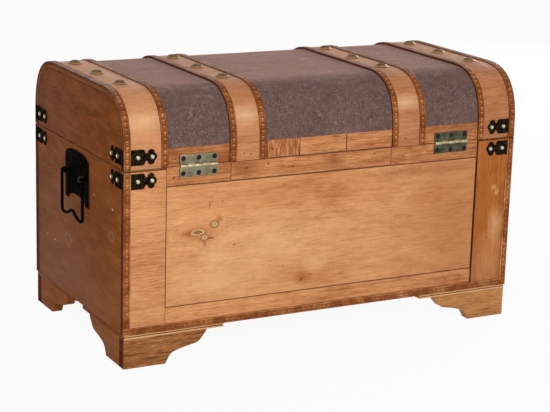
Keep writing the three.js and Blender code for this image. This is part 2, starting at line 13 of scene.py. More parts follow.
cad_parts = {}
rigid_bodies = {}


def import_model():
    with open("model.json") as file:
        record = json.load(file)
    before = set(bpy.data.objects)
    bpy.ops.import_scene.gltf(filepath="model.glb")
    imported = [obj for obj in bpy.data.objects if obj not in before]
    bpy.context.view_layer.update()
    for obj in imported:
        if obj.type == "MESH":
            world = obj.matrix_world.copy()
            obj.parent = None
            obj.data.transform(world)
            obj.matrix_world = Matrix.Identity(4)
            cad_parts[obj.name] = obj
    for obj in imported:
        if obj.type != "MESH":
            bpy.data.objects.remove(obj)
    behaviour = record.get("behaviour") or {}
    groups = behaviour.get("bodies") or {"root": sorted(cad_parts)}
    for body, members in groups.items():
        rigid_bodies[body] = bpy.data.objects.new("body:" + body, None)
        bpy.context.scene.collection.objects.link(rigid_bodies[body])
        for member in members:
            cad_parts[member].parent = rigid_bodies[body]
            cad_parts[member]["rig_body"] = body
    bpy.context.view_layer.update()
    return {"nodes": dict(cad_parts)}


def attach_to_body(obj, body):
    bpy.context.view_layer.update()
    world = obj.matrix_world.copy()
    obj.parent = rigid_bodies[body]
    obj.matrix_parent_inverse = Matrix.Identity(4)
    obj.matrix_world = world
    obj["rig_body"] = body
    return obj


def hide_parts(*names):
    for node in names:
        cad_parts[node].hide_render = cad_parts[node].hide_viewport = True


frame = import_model()
nodes = frame["nodes"]

mm = 0.001
X, Y, Z = Vector((1, 0, 0)), Vector((0, 1, 0)), Vector((0, 0, 1))
# The sign of x at each end, and of y on each side
ENDS = {"right": 1, "left": -1}
SIDES = {"back": 1, "front": -1}
CORNERS = {f"{side}_{end}": (ENDS[end], SIDES[side]) for side in SIDES for end in ENDS}

# The planes and heights of the chest
HALF_WIDTH = 355 * mm
HALF_DEPTH = 192.5 * mm
SEAM = 313.8 * mm
BODY_TOP = SEAM - 0.4 * mm
BODY_BOTTOM = 54 * mm
STILE_TOP = 311.4 * mm
LID_TOP = 430.8 * mm
LID_BOTTOM = 314.2 * mm
SHELL_BOTTOM = 343.5 * mm
END_FACE = 353.8 * mm
TRIM_THICK = 1.9 * mm
TRIM_WIDE = 12 * mm
STRAP_INSET = 2 * mm
RAIL_INSET = 4.4 * mm
SHELL_INSET = 5.5 * mm
INNER_INSET = 11.4 * mm
RAIL_FACE = HALF_DEPTH - RAIL_INSET
STRAP_FACE = HALF_DEPTH - STRAP_INSET
FOOT_HEIGHT = 48 * mm
FOOT_BOARD = 18 * mm
FOOT_FACE_X, FOOT_FACE_Y = 353.4 * mm, 190.9 * mm
STRAPS = {"right_end": (282 * mm, END_FACE), "right": (115.5 * mm, 177.5 * mm),
          "left": (-177.5 * mm, -115.5 * mm), "left_end": (-END_FACE, -282 * mm)}
# A hair's breadth, which keeps two pieces that touch from having faces in one plane
HAIR = 0.1 * mm


# Materials

def linear(hex_colour):
    """An sRGB hex value as the linear colour that a shader takes."""
    values = [int(hex_colour[i:i + 2], 16) / 255 for i in (1, 3, 5)]
    return (*(v / 12.92 if v <= 0.04045 else ((v + 0.055) / 1.055) ** 2.4 for v in values), 1)


def add(tree, kind, inputs=None, out=0, **settings):
    """Adds a node with its settings and links, and gives back one of its outputs."""
    node = tree.nodes.new("ShaderNode" + kind)
    for name, value in settings.items():
        setattr(node, name, value)
    for name, value in (inputs or {}).items():
        if isinstance(value, bpy.types.NodeSocket):
            tree.links.new(value, node.inputs[name])
        else:
            node.inputs[name].default_value = value
    return node.outputs[out] if node.outputs else None


def finish(name, **shader):
    """A new material: its node maker, its shader node and the place on the piece in metres."""
    material = bpy.data.materials.new(name)
    material.use_nodes = True
    material.node_tree.nodes.clear()
    node = partial(add, material.node_tree)
    surface = node("BsdfPrincipled")
    for socket, value in shader.items():
        surface.node.inputs[socket.replace("_", " ")].default_value = value
    node("OutputMaterial", {"Surface": surface})
    return material, node, surface.node, node("TexCoord", out="Object")


def attach(surface, **sockets):
    """Feeds sockets of a shader."""
    for name, value in sockets.items():
        surface.id_data.links.new(value, surface.inputs[name.replace("_", " ")])


def per_mm(x, y, z):
    """Scale factors that give a pattern features of these sizes in millimetres."""
    return tuple(1 / (size * mm) for size in (x, y, z))


# Marks in a board, painted from the outside in. Each band is (where it starts, where it is full, how
# strong it is, its colour), in half widths from the middle of the mark. A mark runs through the board.
MARKS = {"knot": [(1.9, 1.4, 0.5, "#7a431d"), (1.5, 1.25, 0.65, "#edc391"), (1.15, 0.9, 0.85, "#80572c")],
         "pin": [(2.8, 1.4, 0.65, "#7a431d"), (1.55, 1.25, 0.7, "#efc898"), (0.95, 0.7, 0.8, "#7f5526")],
         "stain": [(1.9, 0.5, 0.75, "#a45c2a")],
         "shadow": [(1.9, 0.3, 0.35, "#b16c38")],
         "bloom": [(1.9, 0.3, 0.5, "#eec18c")],
         "blush": [(1.9, 0.3, 0.35, "#dfa87c")],
         # rubbed is a painted highlight: the shine of light on the round of a strap's shoulder, put into the
         # wood's colour
         "rubbed": [(1.9, 0.2, 0.55, "#ffd2a2")],
         "dusk": [(1.9, 0.4, 0.45, "#8a4a26")],
         "haze": [(1.9, 0.3, 0.55, "#94654e")],
         "rust": [(1.9, 0.3, 0.5, "#7f4520")],
         "ring": [(1.6, 1.25, 0.42, "#b98a6c"), (1.2, 0.9, 0.7, "#814d35")],
         "nick": [(1.4, 0.9, 0.9, "#dcb898")],
         "crack": [(1.4, 0.8, 0.8, "#5f3216")]}
THROUGH = 1e6
# The layers of the grain: length and width in millimetres, detail, roughness and distortion
GRAIN = {"streaks": (16, 1.4, 3, 0.7, 0), "stripes": (80, 3, 2, 0.6, 0), "patches": (60, 20, 4, 0.6, 0.4),
         "drift": (260, 90, 1, 0.5, 0), "rings": (300, 40, 1, 0.4, 0.5), "pores": (9, 0.9, 1, 0.5, 0)}


def pine(name, light, middle, dark, along="x", shine=0.06, gloss=0.36, contrast=1.0, cloudy=1.0, marks=()):
    """Pine, stained with a wiped stain and varnished. The eye sees fine streaks along the grain, the thin
    wavy lines of the growth rings, soft cloudy patches where the stain took unevenly, short dark pores, and
    edges that are darker where the stain gathered or paler where it is rubbed off. On the straps the pale
    edges are also a painted highlight, and some marks paint highlight and shade.
    The streaks are drawn 1.4 mm wide, wider than real fibres, so that they show. The marks are given
    by x and z, or by y and z on a board whose grain runs along y."""
    material, node, surface, place = finish(name, Specular_IOR_Level=shine)
    board = node("Attribute", attribute_name="board", out="Vector")
    tone, edge = (node("Attribute", attribute_name=layer, out="Fac") for layer in ("tone", "edge"))
    grain = node("VectorMath", {0: place, 1: board}, operation="ADD")
    ragged = node("TexNoise", {"Vector": place, "Scale": 1 / (6 * mm), "Detail": 2.0, "Roughness": 0.7})
    bands = []
    for sideways, z, wide, high, kind in marks:
        middle_at, size = (sideways * mm, 0, z * mm), per_mm(wide, THROUGH, high)
        if along == "y":
            middle_at, size = (0, sideways * mm, z * mm), per_mm(THROUGH, wide, high)
        away = node("VectorMath", {0: place, 1: middle_at}, operation="SUBTRACT")
        shares = node("VectorMath", {0: away, 1: size}, operation="MULTIPLY")
        far = node("VectorMath", {0: shares}, "Value", operation="LENGTH")
        far = node("Math", {0: ragged, 1: 0.8, 2: far}, operation="MULTIPLY_ADD")
        if kind in ("knot", "pin"):
            pull = node("Math", {0: far, 1: -0.8}, operation="MULTIPLY")
            pull = node("Math", {0: pull}, operation="EXPONENT")
            bend = node("VectorMath", {0: away, "Scale": pull}, operation="SCALE")
            grain = node("VectorMath", {0: grain, 1: bend}, operation="SUBTRACT")
        for start, full, strength, tint in MARKS[kind]:
            share = node("MapRange", {"Value": far, "From Min": start, "From Max": full, "To Max": strength})
            bands.append((share, tint))
    fields = []
    for length, width, detail, roughness, twist in GRAIN.values():
        size = per_mm(*(length if axis == along else width for axis in "xyz"))
        at = node("VectorMath", {0: grain, 1: size}, operation="MULTIPLY")
        fields.append(node("TexNoise", {"Vector": at, "Scale": 1.0, "Detail": detail, "Roughness": roughness,
                                        "Distortion": twist}))
    streaks, stripes, patches, drift, rings, pores = fields
    shade = node("Math", {0: tone, 1: 0.5}, operation="ADD")
    for layer, amount in ((streaks, 0.3), (stripes, 0.18), (patches, 0.16 * cloudy), (drift, 0.16)):
        swing = node("MapRange", {"Value": layer, "From Min": 0.25, "From Max": 0.75,
                                  "To Min": -amount * contrast, "To Max": amount * contrast})
        shade = node("Math", {0: shade, 1: swing}, operation="ADD")
    rings = node("Math", {0: rings, 1: 13.0}, operation="MULTIPLY")
    rings = node("Math", {0: rings, 1: 0.5}, operation="PINGPONG")
    rings = node("MapRange", {"Value": rings, "From Min": 0.1, "From Max": 0.0, "To Max": 0.12 * contrast})
    shade = node("Math", {0: shade, 1: rings}, operation="SUBTRACT")
    ramp = node("ValToRGB", {"Fac": shade})
    stops = ramp.node.color_ramp.elements
    stops[0].color, stops[1].color = linear(dark), linear(light)
    stops.new(0.5).color = linear(middle)
    pores = node("MapRange", {"Value": pores, "From Min": 0.66, "From Max": 0.76, "To Max": 0.35})
    # Pale edges: wear, and on the straps also a painted highlight on their rounded edges
    wear_and_sheen = node("MapRange", {"Value": edge, "From Max": 1.0, "To Max": 0.6})
    stained = node("MapRange", {"Value": edge, "From Max": -1.0, "To Max": 0.9})
    colour = ramp
    for share, tint in ((pores, dark), *bands, (wear_and_sheen, light), (stained, "#4c2814")):
        colour = node("Mix", {0: share, 6: colour, 7: linear(tint)}, 2, data_type="RGBA")
    rough = node("MapRange", {"Value": streaks, "From Min": 0.3, "From Max": 0.7, "To Min": gloss + 0.12,
                              "To Max": gloss - 0.04})
    bump = node("Bump", {"Height": streaks, "Distance": 0.1 * mm, "Strength": 0.3})
    attach(surface, Base_Color=colour, Roughness=rough, Normal=bump)
    return material


def embossed_leather(name):
    """Vegetable-tanned leather strip, embossed by a heated wheel, dyed and lacquered. The eye sees dark dye
    in the hollows and lighter tops with a small bright shine. The shade layer also carries painted shade in
    the grooves between the pillows and a painted highlight on their upper edges."""
    material, node, surface, place = finish(name, Specular_IOR_Level=0.1)
    shade, tone = (node("Attribute", attribute_name=layer, out="Fac") for layer in ("shade", "tone"))
    shade = node("Math", {0: shade, 1: tone}, operation="ADD")
    patches = node("TexNoise", {"Vector": place, "Scale": 1 / (22 * mm), "Detail": 3.0, "Roughness": 0.6})
    creases = node("TexNoise", {"Vector": place, "Scale": 1 / (1.3 * mm), "Detail": 2.0, "Roughness": 0.6})
    for layer, amount in ((patches, 0.2), (creases, 0.16)):
        swing = node("MapRange", {"Value": layer, "From Min": 0.3, "From Max": 0.7, "To Min": -amount,
                                  "To Max": amount})
        shade = node("Math", {0: shade, 1: swing}, operation="ADD")
    ramp = node("ValToRGB", {"Fac": shade})
    stops = ramp.node.color_ramp.elements
    stops[0].color, stops[1].color = linear("#421d0c"), linear("#e0a468")
    stops.new(0.5).color = linear("#8f4e22")
    rough = node("MapRange", {"Value": patches, "From Min": 0.3, "From Max": 0.7, "To Min": 0.42,
                              "To Max": 0.25})
    bump = node("Bump", {"Height": creases, "Distance": 0.12 * mm, "Strength": 0.5})
    attach(surface, Base_Color=ramp, Roughness=rough, Normal=bump)
    return material


# The heights between which the canvas's streaks come up, over the round of the lid
STREAKS_FROM, STREAKS_FULL = 398 * mm, 420 * mm


def canvas(name):
    """Plain-woven cotton canvas, dyed and glued down. The eye sees a matt purple-brown, cloudy where the
    dye took unevenly, with pale specks where the nap is rubbed, a few pale scuffs, and pale and dark
    streaks on the top. The threads are drawn 1.2 mm apart, coarser than real ones, so that they show."""
    material, node, surface, place = finish(name, Roughness=0.9, Specular_IOR_Level=0.05, Sheen_Weight=0.68,
                                            Sheen_Roughness=0.45, Sheen_Tint=linear("#cfa797"))
    flat = node("UVMap", uv_map="cloth")
    thread = 1.2 / math.tau
    threads = node("VectorMath", {0: flat, 1: per_mm(thread, thread, 1)}, operation="MULTIPLY")
    threads = node("SeparateXYZ", {0: threads}).node.outputs
    warp, weft = (node("Math", {0: threads[axis]}, operation="SINE") for axis in "XY")
    weave = node("Math", {0: warp, 1: weft}, operation="MULTIPLY")
    clouds, mottle, specks = (
        node("TexNoise", {"Vector": place, "Scale": 1 / (size * mm), "Detail": detail, "Roughness": rough})
        for size, detail, rough in ((60, 4.0, 0.65), (9, 3.0, 0.7), (2.2, 3.0, 0.8)))
    scuffs, streaks = (
        node("TexNoise", {"Vector": node("VectorMath", {0: place, 1: per_mm(*size)}, operation="MULTIPLY"),
                          "Scale": 1.0, "Detail": detail, "Roughness": rough, "Distortion": twist})
        for size, detail, rough, twist in (((24, 34, 20), 3.0, 0.7, 1.2), ((48, 18, 14), 4.0, 0.75, 0.6)))
    level = node("SeparateXYZ", {0: place}, "Z")
    on_top = node("MapRange", {"Value": level, "From Min": STREAKS_FROM, "From Max": STREAKS_FULL})
    streaks = node("Mix", {0: on_top, 2: 0.5, 3: streaks})
    share = node("MapRange", {"Value": clouds, "From Min": 0.3, "From Max": 0.7})
    colour = node("Mix", {0: share, 6: linear("#5f4843"), 7: linear("#735a54")}, 2, data_type="RGBA")
    for layer, low, high, amount, tint in (
            (mottle, 0.5, 0.75, 0.42, "#8b726a"), (mottle, 0.5, 0.25, 0.6, "#533d38"),
            (specks, 0.53, 0.7, 0.7, "#a58e85"), (specks, 0.47, 0.3, 0.6, "#432f2b"),
            (scuffs, 0.62, 0.76, 0.4, "#b8a097"),
            (streaks, 0.54, 0.68, 0.34, "#a8948e"), (streaks, 0.48, 0.34, 0.34, "#4a3733")):
        share = node("MapRange", {"Value": layer, "From Min": low, "From Max": high, "To Max": amount})
        colour = node("Mix", {0: share, 6: colour, 7: linear(tint)}, 2, data_type="RGBA")
    raised = node("Math", {0: weave, 1: 0.25, 2: specks}, operation="MULTIPLY_ADD")
    bump = node("Bump", {"Height": raised, "Distance": 0.3 * mm, "Strength": 0.7})
    attach(surface, Base_Color=colour, Normal=bump)
    return material


def hammered_steel(name):
    """Sheet steel, hammered, stamped out and japanned black. The eye sees dimples, with small dull glints
    painted lighter on their tops, in a brown-black that is rubbed to bare metal on the edges."""
    material, node, surface, place = finish(name, Specular_IOR_Level=0.0)
    dents = node("TexVoronoi", {"Vector": place, "Scale": 1 / (3.2 * mm), "Smoothness": 0.4}, "Distance",
                 feature="SMOOTH_F1")
    grime = node("TexNoise", {"Vector": place, "Scale": 1 / (8 * mm), "Detail": 3.0, "Roughness": 0.65})
    edge = node("Attribute", attribute_name="edge", out="Fac")
    share = node("MapRange", {"Value": grime, "From Min": 0.35, "From Max": 0.65})
    colour = node("Mix", {0: share, 6: linear("#0a0705"), 7: linear("#1a130d")}, 2, data_type="RGBA")
    wear_and_sheen = node("Math", {0: edge, 1: grime}, operation="MULTIPLY")
    # Painted glints: the tops of the dimples are painted lighter, in place of glints of light, and joined
    # with the rubbed edges
    tops = node("MapRange", {"Value": dents, "From Min": 0.42, "From Max": 0.6, "To Max": 0.26})
    tops = node("Math", {0: tops, 1: grime}, operation="MULTIPLY")
    wear_and_sheen = node("Math", {0: wear_and_sheen, 1: tops}, operation="MAXIMUM")
    colour = node("Mix", {0: wear_and_sheen, 6: colour, 7: linear("#6a5644")}, 2, data_type="RGBA")
    rough = node("MapRange", {"Value": grime, "From Min": 0.3, "From Max": 0.7, "To Min": 0.22,
                              "To Max": 0.45})
    bump = node("Bump", {"Height": dents, "Distance": 0.5 * mm, "Strength": 0.6})
    attach(surface, Base_Color=colour, Roughness=rough, Normal=bump)
    return material


def metal(name, bright, dull, roughness, grain, metallic=1.0, specular=0.5, patchy=0.7):
    """A stamped or cast metal, bright where it is rubbed and where its shade layer is high, and dull in
    patches of tarnish or black lacquer. On the nails the shade layer is partly a painted highlight.
    """
    material, node, surface, place = finish(name, Metallic=metallic, Specular_IOR_Level=specular)
    patches = node("TexNoise", {"Vector": place, "Scale": 1 / (grain * mm), "Detail": 3.0, "Roughness": 0.65})
    pits = node("TexNoise", {"Vector": place, "Scale": 1 / (0.8 * mm), "Detail": 2.0, "Roughness": 0.6})
    edge, shade = (node("Attribute", attribute_name=layer, out="Fac") for layer in ("edge", "shade"))
    share = node("MapRange", {"Value": patches, "From Min": 0.35, "From Max": 0.65, "To Max": patchy})
    rubbed = node("Math", {0: edge, 1: 0.7}, operation="MULTIPLY")
    share = node("Math", {0: share, 1: rubbed}, operation="MAXIMUM")
    share = node("Math", {0: share, 1: shade}, operation="MAXIMUM")
    colour = node("Mix", {0: share, 6: linear(dull), 7: linear(bright)}, 2, data_type="RGBA")
    rough = node("MapRange", {"Value": patches, "From Min": 0.3, "From Max": 0.7, "To Min": roughness + 0.15,
                              "To Max": roughness})
    bump = node("Bump", {"Height": pits, "Distance": 0.06 * mm, "Strength": 0.6})
    attach(surface, Base_Color=colour, Roughness=rough, Normal=bump)
    return material


# The marks seen on the chest: (x, z, half width, half height, kind) in millimetres, with y for x on the end
PANEL_MARKS = [(90, 178, 120, 42, "bloom"), (190, 120, 80, 34, "bloom"), (-215, 190, 90, 90, "shadow"),
               (60, 262, 160, 26, "shadow"), (247, 205, 10, 4, "stain"), (242, 200, 20, 12, "shadow"),
               (217, 206, 28, 15, "shadow"), (206, 195, 9, 1.8, "crack"), (217, 186, 2.4, 5, "stain"),
               (228.9, 206.2, 12, 5, "knot"), (200.6, 216.7, 4.4, 3.4, "pin"),
               (217.4, 196.9, 4.2, 3.4, "pin"), (193, 224, 5, 5, "stain"), (-250, 170, 80, 120, "shadow"),
               (209.2, 248.0, 1.2, 8, "crack"), (188.0, 252.4, 1.3, 1.6, "crack"),
               (166.2, 180.1, 3.4, 1.3, "crack"), (41.6, 111.3, 13, 10, "stain"), (44, 109, 3, 4, "crack"),
               (27.9, 115.6, 6, 1.2, "crack"), (77.9, 134.8, 2.0, 0.8, "crack"), (36, 118, 40, 18, "shadow"),
               (-130, 271, 50, 10, "dusk"), (-215, 271, 50, 10, "dusk"), (199, 165, 26, 12, "bloom"),
               (19, 131, 20, 12, "bloom")]
END_MARKS = [(-44, 149, 15, 10, "ring"), (142, 200, 11, 9, "ring"), (0, 100, 200, 55, "haze"),
             (90, 250, 120, 60, "rust"), (69, 250, 2.2, 1.6, "nick"), (-138, 134, 3, 2, "nick"),
             (-104, 132, 3.5, 2, "nick"), (146, 244, 4, 2.2, "nick"), (-60, 205, 70, 30, "haze"),
             (100, 130, 60, 30, "rust")]
STILE_MARKS = [(-300, 218, 12, 50, "stain"), (-296, 165, 14, 9, "stain"), (-321.1, 229, 5, 4, "bloom"),
               (-327, 220, 4, 6, "bloom"), (-318, 92, 30, 46, "blush"), (-329, 163, 13, 26, "bloom")]
# On the straps the three rubbed marks paint the highlight of light on the round of the shoulders, and the
# shadow mark above the right strap's highlight paints shade
STRAP_MARKS = [(316, 386, 32, 13, "rubbed"), (147, 384, 30, 12, "rubbed"), (-141, 385, 30, 10, "rubbed"),
               (147, 413, 44, 11, "shadow"), (-318, 330, 40, 18, "dusk")]
RAIL_MARKS = [(147, 303, 26, 11, "dusk"), (150, 300, 20, 14, "dusk"), (-12, 300, 16, 11, "dusk"),
              (-8, 302, 10, 9, "dusk"), (-235, 336, 46, 14, "dusk")]
STAIN = {"light": "#e9ae7a", "middle": "#d29160", "dark": "#9a592f"}
# The ends of the chest take a darker stain, which is partly their own stain and partly painted shade for the
# dimmer light on the ends
DARK_STAIN_AND_SHADE = {"light": "#b1703f", "middle": "#915127", "dark": "#623113", "along": "y", "shine": 0.015,
              "gloss": 0.45, "contrast": 0.4, "cloudy": 4.0}
wall_pine = pine("wiped_stain_pine", **STAIN)
rail_pine = pine("wiped_stain_pine_rails", **STAIN, marks=RAIL_MARKS)
panel_pine = pine("wiped_stain_pine_knots", **STAIN, contrast=0.85, cloudy=1.7, marks=PANEL_MARKS)
upright_pine = pine("wiped_stain_pine_upright", **STAIN, along="z", contrast=2.0)
stile_pine = pine("warm_stain_pine_clouded", "#df9757", "#c2773b", "#86451d", along="z", contrast=0.7,
                  marks=STILE_MARKS)
strap_pine = pine("golden_stain_pine_painted_light", "#e9ad7b", "#d19164", "#98582f", shine=0.12, contrast=0.45, cloudy=2.2,
                  marks=STRAP_MARKS)
end_pine = pine("dark_stain_pine_and_shade", **DARK_STAIN_AND_SHADE)
knotty_end_pine = pine("dark_stain_pine_knots_and_shade", **DARK_STAIN_AND_SHADE, marks=END_MARKS)
end_grain = pine("dark_stain_end_grain", "#93503a", "#6f382a", "#46201a", along="y", shine=0.0, gloss=0.6)
# Pale stain on the feet's caps, which with their pale rounded edges also paints the highlight of light on the
# cap's edges
cap_pine = pine("pale_stain_pine_painted_highlight", "#f0c896", "#dcab76", "#b27a48")
foot_pine = pine("olive_stain_pine", "#c78d58", "#a2693c", "#613919", contrast=1.55)
bare_pine = pine("bare_pine", "#e6cba3", "#d3b083", "#b28a5d", gloss=0.55, contrast=0.7)
leather = embossed_leather("embossed_tanned_leather")
lid_canvas = canvas("dyed_cotton_canvas")
black_steel = hammered_steel("hammered_japanned_steel")
# The nails are painted bright on the crown and dark on the flank: partly a worn crown, partly the painted
# highlight and dark reflection of a polished dome
nail_brass = metal("domed_brass_nail", "#ece6c8", "#453f23", 0.1, 5, patchy=0.06)
button_brass = metal("antiqued_brass_button", "#a28156", "#563b23", 0.4, 6, patchy=0.3)
hinge_brass = metal("antiqued_brass_plate", "#9f977d", "#6b644e", 0.36, 10)
dull_brass = metal("darker_brass_plate", "#6e6a57", "#3f3c30", 0.4, 9)
# The knuckles' pale brass is partly rubbed brass and partly a painted highlight, the bright line of light
# along the barrel
barrel_brass = metal("rubbed_brass_barrel_painted_highlight", "#ddd0b2", "#a89872", 0.32, 14)
iron = metal("japanned_cast_iron", "#3d3730", "#080605", 0.3, 8, 0.0, 0.001, 0.05)
screw_steel = metal("blued_steel_screw", "#1c1815", "#090706", 0.45, 3, 0.2, 0.2)
bright_steel = metal("zinc_plated_steel", "#bdbcb8", "#8b8a87", 0.3, 12)
# Dark wood filler in the nail holes; the same dark is painted shade in the keyhole and in the gap beside each
# hinge leaf
dark_filler_and_shade = metal("dark_wood_filler_and_painted_shade", "#3b2213", "#21120a", 0.7, 3, 0.0, 0.2)


# Meshes

def placed(name, data):
    """A new object in the scene."""
    thing = bpy.data.objects.new(name, data)
    bpy.context.scene.collection.objects.link(thing)
    return thing


def made(name, bm, body, materials, smooth=32, board=(0, 0, 0), tone=0.0, stands_for=()):
    """Turns a bmesh into a piece of the chest that rides on a body."""
    mesh = bpy.data.meshes.new(name)
    bm.to_mesh(mesh)
    bm.free()
    mesh.shade_smooth()
    mesh.set_sharp_from_angle(angle=math.radians(smooth))
    for material in materials:
        mesh.materials.append(material)
    count = len(mesh.vertices)
    mesh.attributes.new("board", "FLOAT_VECTOR", "POINT").data.foreach_set("vector", list(board) * count)
    mesh.attributes.new("tone", "FLOAT", "POINT").data.foreach_set("value", [tone] * count)
    piece = placed(name, mesh)
    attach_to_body(piece, body)
    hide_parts(*stands_for)
    return piece


def merged_copy(node):
    """A CAD node's mesh with its loose triangles joined into flat faces."""
    bm = bmesh.new()
    bm.from_mesh(nodes[node].data)
    bmesh.ops.remove_doubles(bm, verts=bm.verts, dist=2e-6)
    bmesh.ops.dissolve_limit(bm, angle_limit=math.radians(0.6), verts=bm.verts, edges=bm.edges)
    return bm


def eased(bm, width, least_angle=28, edge=1.0):
    """Rounds every sharp edge. The new faces are rubbed pale where `edge` is 1, and stained dark at -1."""
    sharp = [e for e in bm.edges if e.is_manifold and e.calc_face_angle(0) > math.radians(least_angle)]
    rounded = bmesh.ops.bevel(bm, geom=sharp, offset=width, offset_type="OFFSET", segments=2, profile=0.5,
                              affect="EDGES", clamp_overlap=True, material=-1)
    layer = bm.loops.layers.float.new("edge")
    for face in rounded["faces"]:
        for loop in face.loops:
            loop[layer] = edge
    return bm


def sawn(bm, point, direction):
    """Cuts off what lies beyond a plane and closes the cut."""
    bmesh.ops.bisect_plane(bm, geom=[*bm.verts, *bm.edges, *bm.faces], plane_co=point, plane_no=direction,
                           clear_outer=True)
    bmesh.ops.holes_fill(bm, edges=[e for e in bm.edges if e.is_boundary], sides=0)
    return bm


# The least cosine between two directions that count as one
SAME_WAY = 0.95


def faces_towards(bm, index, *directions):
    """Gives the faces that look in these directions another of the piece's materials."""
    bm.normal_update()
    for face in bm.faces:
        if max(face.normal.dot(direction) for direction in directions) > SAME_WAY:
            face.material_index = index
    return bm


def drawn_out(bm, way):
    """Draws all the faces out along a vector."""
    moved = bmesh.ops.extrude_face_region(bm, geom=bm.faces[:])["geom"]
    bmesh.ops.translate(bm, verts=[v for v in moved if isinstance(v, bmesh.types.BMVert)], vec=way)
    bmesh.ops.recalc_face_normals(bm, faces=bm.faces)
    return bm


def joined(*parts):
    """Several bmeshes as one."""
    whole = bmesh.new()
    whole.verts.layers.float.new("shade")
    whole.loops.layers.float.new("edge")
    for part in parts:
        mesh = bpy.data.meshes.new("part")
        part.to_mesh(mesh)
        part.free()
        whole.from_mesh(mesh)
        bpy.data.meshes.remove(mesh)
    return whole


def block(low, high, rounding=0.0):
    bm = bmesh.new()
    bmesh.ops.create_cube(bm, size=1)
    low, high = Vector(low), Vector(high)
    bmesh.ops.scale(bm, vec=[abs(size) for size in high - low], verts=bm.verts)
    bmesh.ops.translate(bm, vec=(high + low) / 2, verts=bm.verts)
    return eased(bm, rounding) if rounding else bm


def rod(radius, start, end, sides, rounding=0.0):
    start, end = Vector(start), Vector(end)
    bm = bmesh.new()
    bmesh.ops.create_cone(bm, cap_ends=True, segments=sides, radius1=radius, radius2=radius,
                          depth=(end - start).length)
    turn = Z.rotation_difference((end - start).normalized()).to_matrix().to_4x4()
    bmesh.ops.transform(bm, matrix=Matrix.Translation((start + end) / 2) @ turn, verts=bm.verts)
    return eased(bm, rounding) if rounding else bm


def line(bm, points):
    """An open line of edges through the points."""
    verts = [bm.verts.new(point) for point in points]
    return [bm.edges.new(pair) for pair in zip(verts, verts[1:])]


def turned(profile, steps, place, direction, rubbed=1.0):
    """A head turned from a profile of (radius, height) in millimetres, with its foot at `place`.
    It is dull, but bright round the share `rubbed` of its height; on the nails this bright crown is partly a
    painted highlight."""
    bm = bmesh.new()
    edges = line(bm, [(radius * mm, 0, height * mm) for radius, height in profile])
    bmesh.ops.spin(bm, geom=[*bm.verts, *edges], cent=(0, 0, 0), axis=(0, 0, 1), angle=math.tau, steps=steps,
                   use_merge=True)
    bmesh.ops.remove_doubles(bm, verts=bm.verts, dist=1e-6)
    bmesh.ops.recalc_face_normals(bm, faces=bm.faces)
    layer = bm.verts.layers.float.new("shade")
    crown = max(height for _, height in profile) * mm
    for vert in bm.verts:
        vert[layer] = max(0, 1 - abs(vert.co.z / crown - rubbed)) ** 8
    turn = Z.rotation_difference(Vector(direction)).to_matrix().to_4x4()
    bmesh.ops.transform(bm, matrix=Matrix.Translation(place) @ turn, verts=bm.verts)
    return bm


def plate(outline, thickness, rounding, holes=()):
    """A flat plate from a closed outline of points, raised by the vector `thickness`."""
    bm = bmesh.new()
    edges = []
    for loop in (outline, *holes):
        verts = [bm.verts.new(point) for point in loop]
        edges += [bm.edges.new(pair) for pair in zip(verts, verts[1:] + verts[:1])]
    bmesh.ops.triangle_fill(bm, use_beauty=True, edges=edges)
    bmesh.ops.dissolve_limit(bm, angle_limit=0.01, verts=bm.verts, edges=bm.edges)
    return eased(drawn_out(bm, thickness), rounding, least_angle=50)


# How far apart boards are cut from the log, and the log's own size, in metres along x, y and z
BOARD_STEP, LOG = (0.731, 0.517, 0.293), (3.1, 2.3, 1.7)
boards = itertools.count(1)


def next_board():
    """A new place in the log, so that no two boards have the same grain."""
    count = next(boards)
    return tuple(count * step % size for step, size in zip(BOARD_STEP, LOG))


# How far a board's edges are eased, half the gap of a butt joint, and a place past both ends of the chest
BOARD_EDGE, BUTT_GAP, PAST_ENDS = 0.6 * mm, 0.15 * mm, 1.0


def planed(node, *materials, width=BOARD_EDGE, edge=-1.0, tone=0.0, inside=None):
    """A board in the CAD node's own shape, with eased edges. Its second material is on the ends of the
    chest, and its third on the side that looks towards `inside`."""
    bm = merged_copy(node)
    if len(materials) > 1:
        faces_towards(bm, 1, X, -X)
    if inside:
        faces_towards(bm, 2, inside)
    made(f"{node}_finished", eased(bm, width, edge=edge), nodes[node]["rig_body"], materials,
         board=next_board(), tone=tone, stands_for=[node])


def butted(node, inside, joints, lengths):
    """A rail made of several lengths, each with its wood and tone, butted end to end at the joints, which
    are given by x in millimetres."""
    cuts = [-PAST_ENDS, *(x * mm for x in joints), PAST_ENDS]
    for i, (wood, tone) in enumerate(lengths):
        bm = sawn(merged_copy(node), (cuts[i] + BUTT_GAP, 0, 0), -X)
        faces_towards(sawn(bm, (cuts[i + 1] - BUTT_GAP, 0, 0), X), 1, X, -X)
        faces_towards(bm, 2, inside)
        made(f"{node}_length_{i + 1}", eased(bm, BOARD_EDGE, edge=-1.0), nodes[node]["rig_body"],
             [wood, end_grain, bare_pine], board=next_board(), tone=tone, stands_for=[node])


# The lid's shoulders: their depth, their height and their power, which is 1 in an ellipse
SHOULDER_DEEP, SHOULDER_HIGH, SHOULDER_ROUND = 90 * mm, 101 * mm, 2 / 2.6


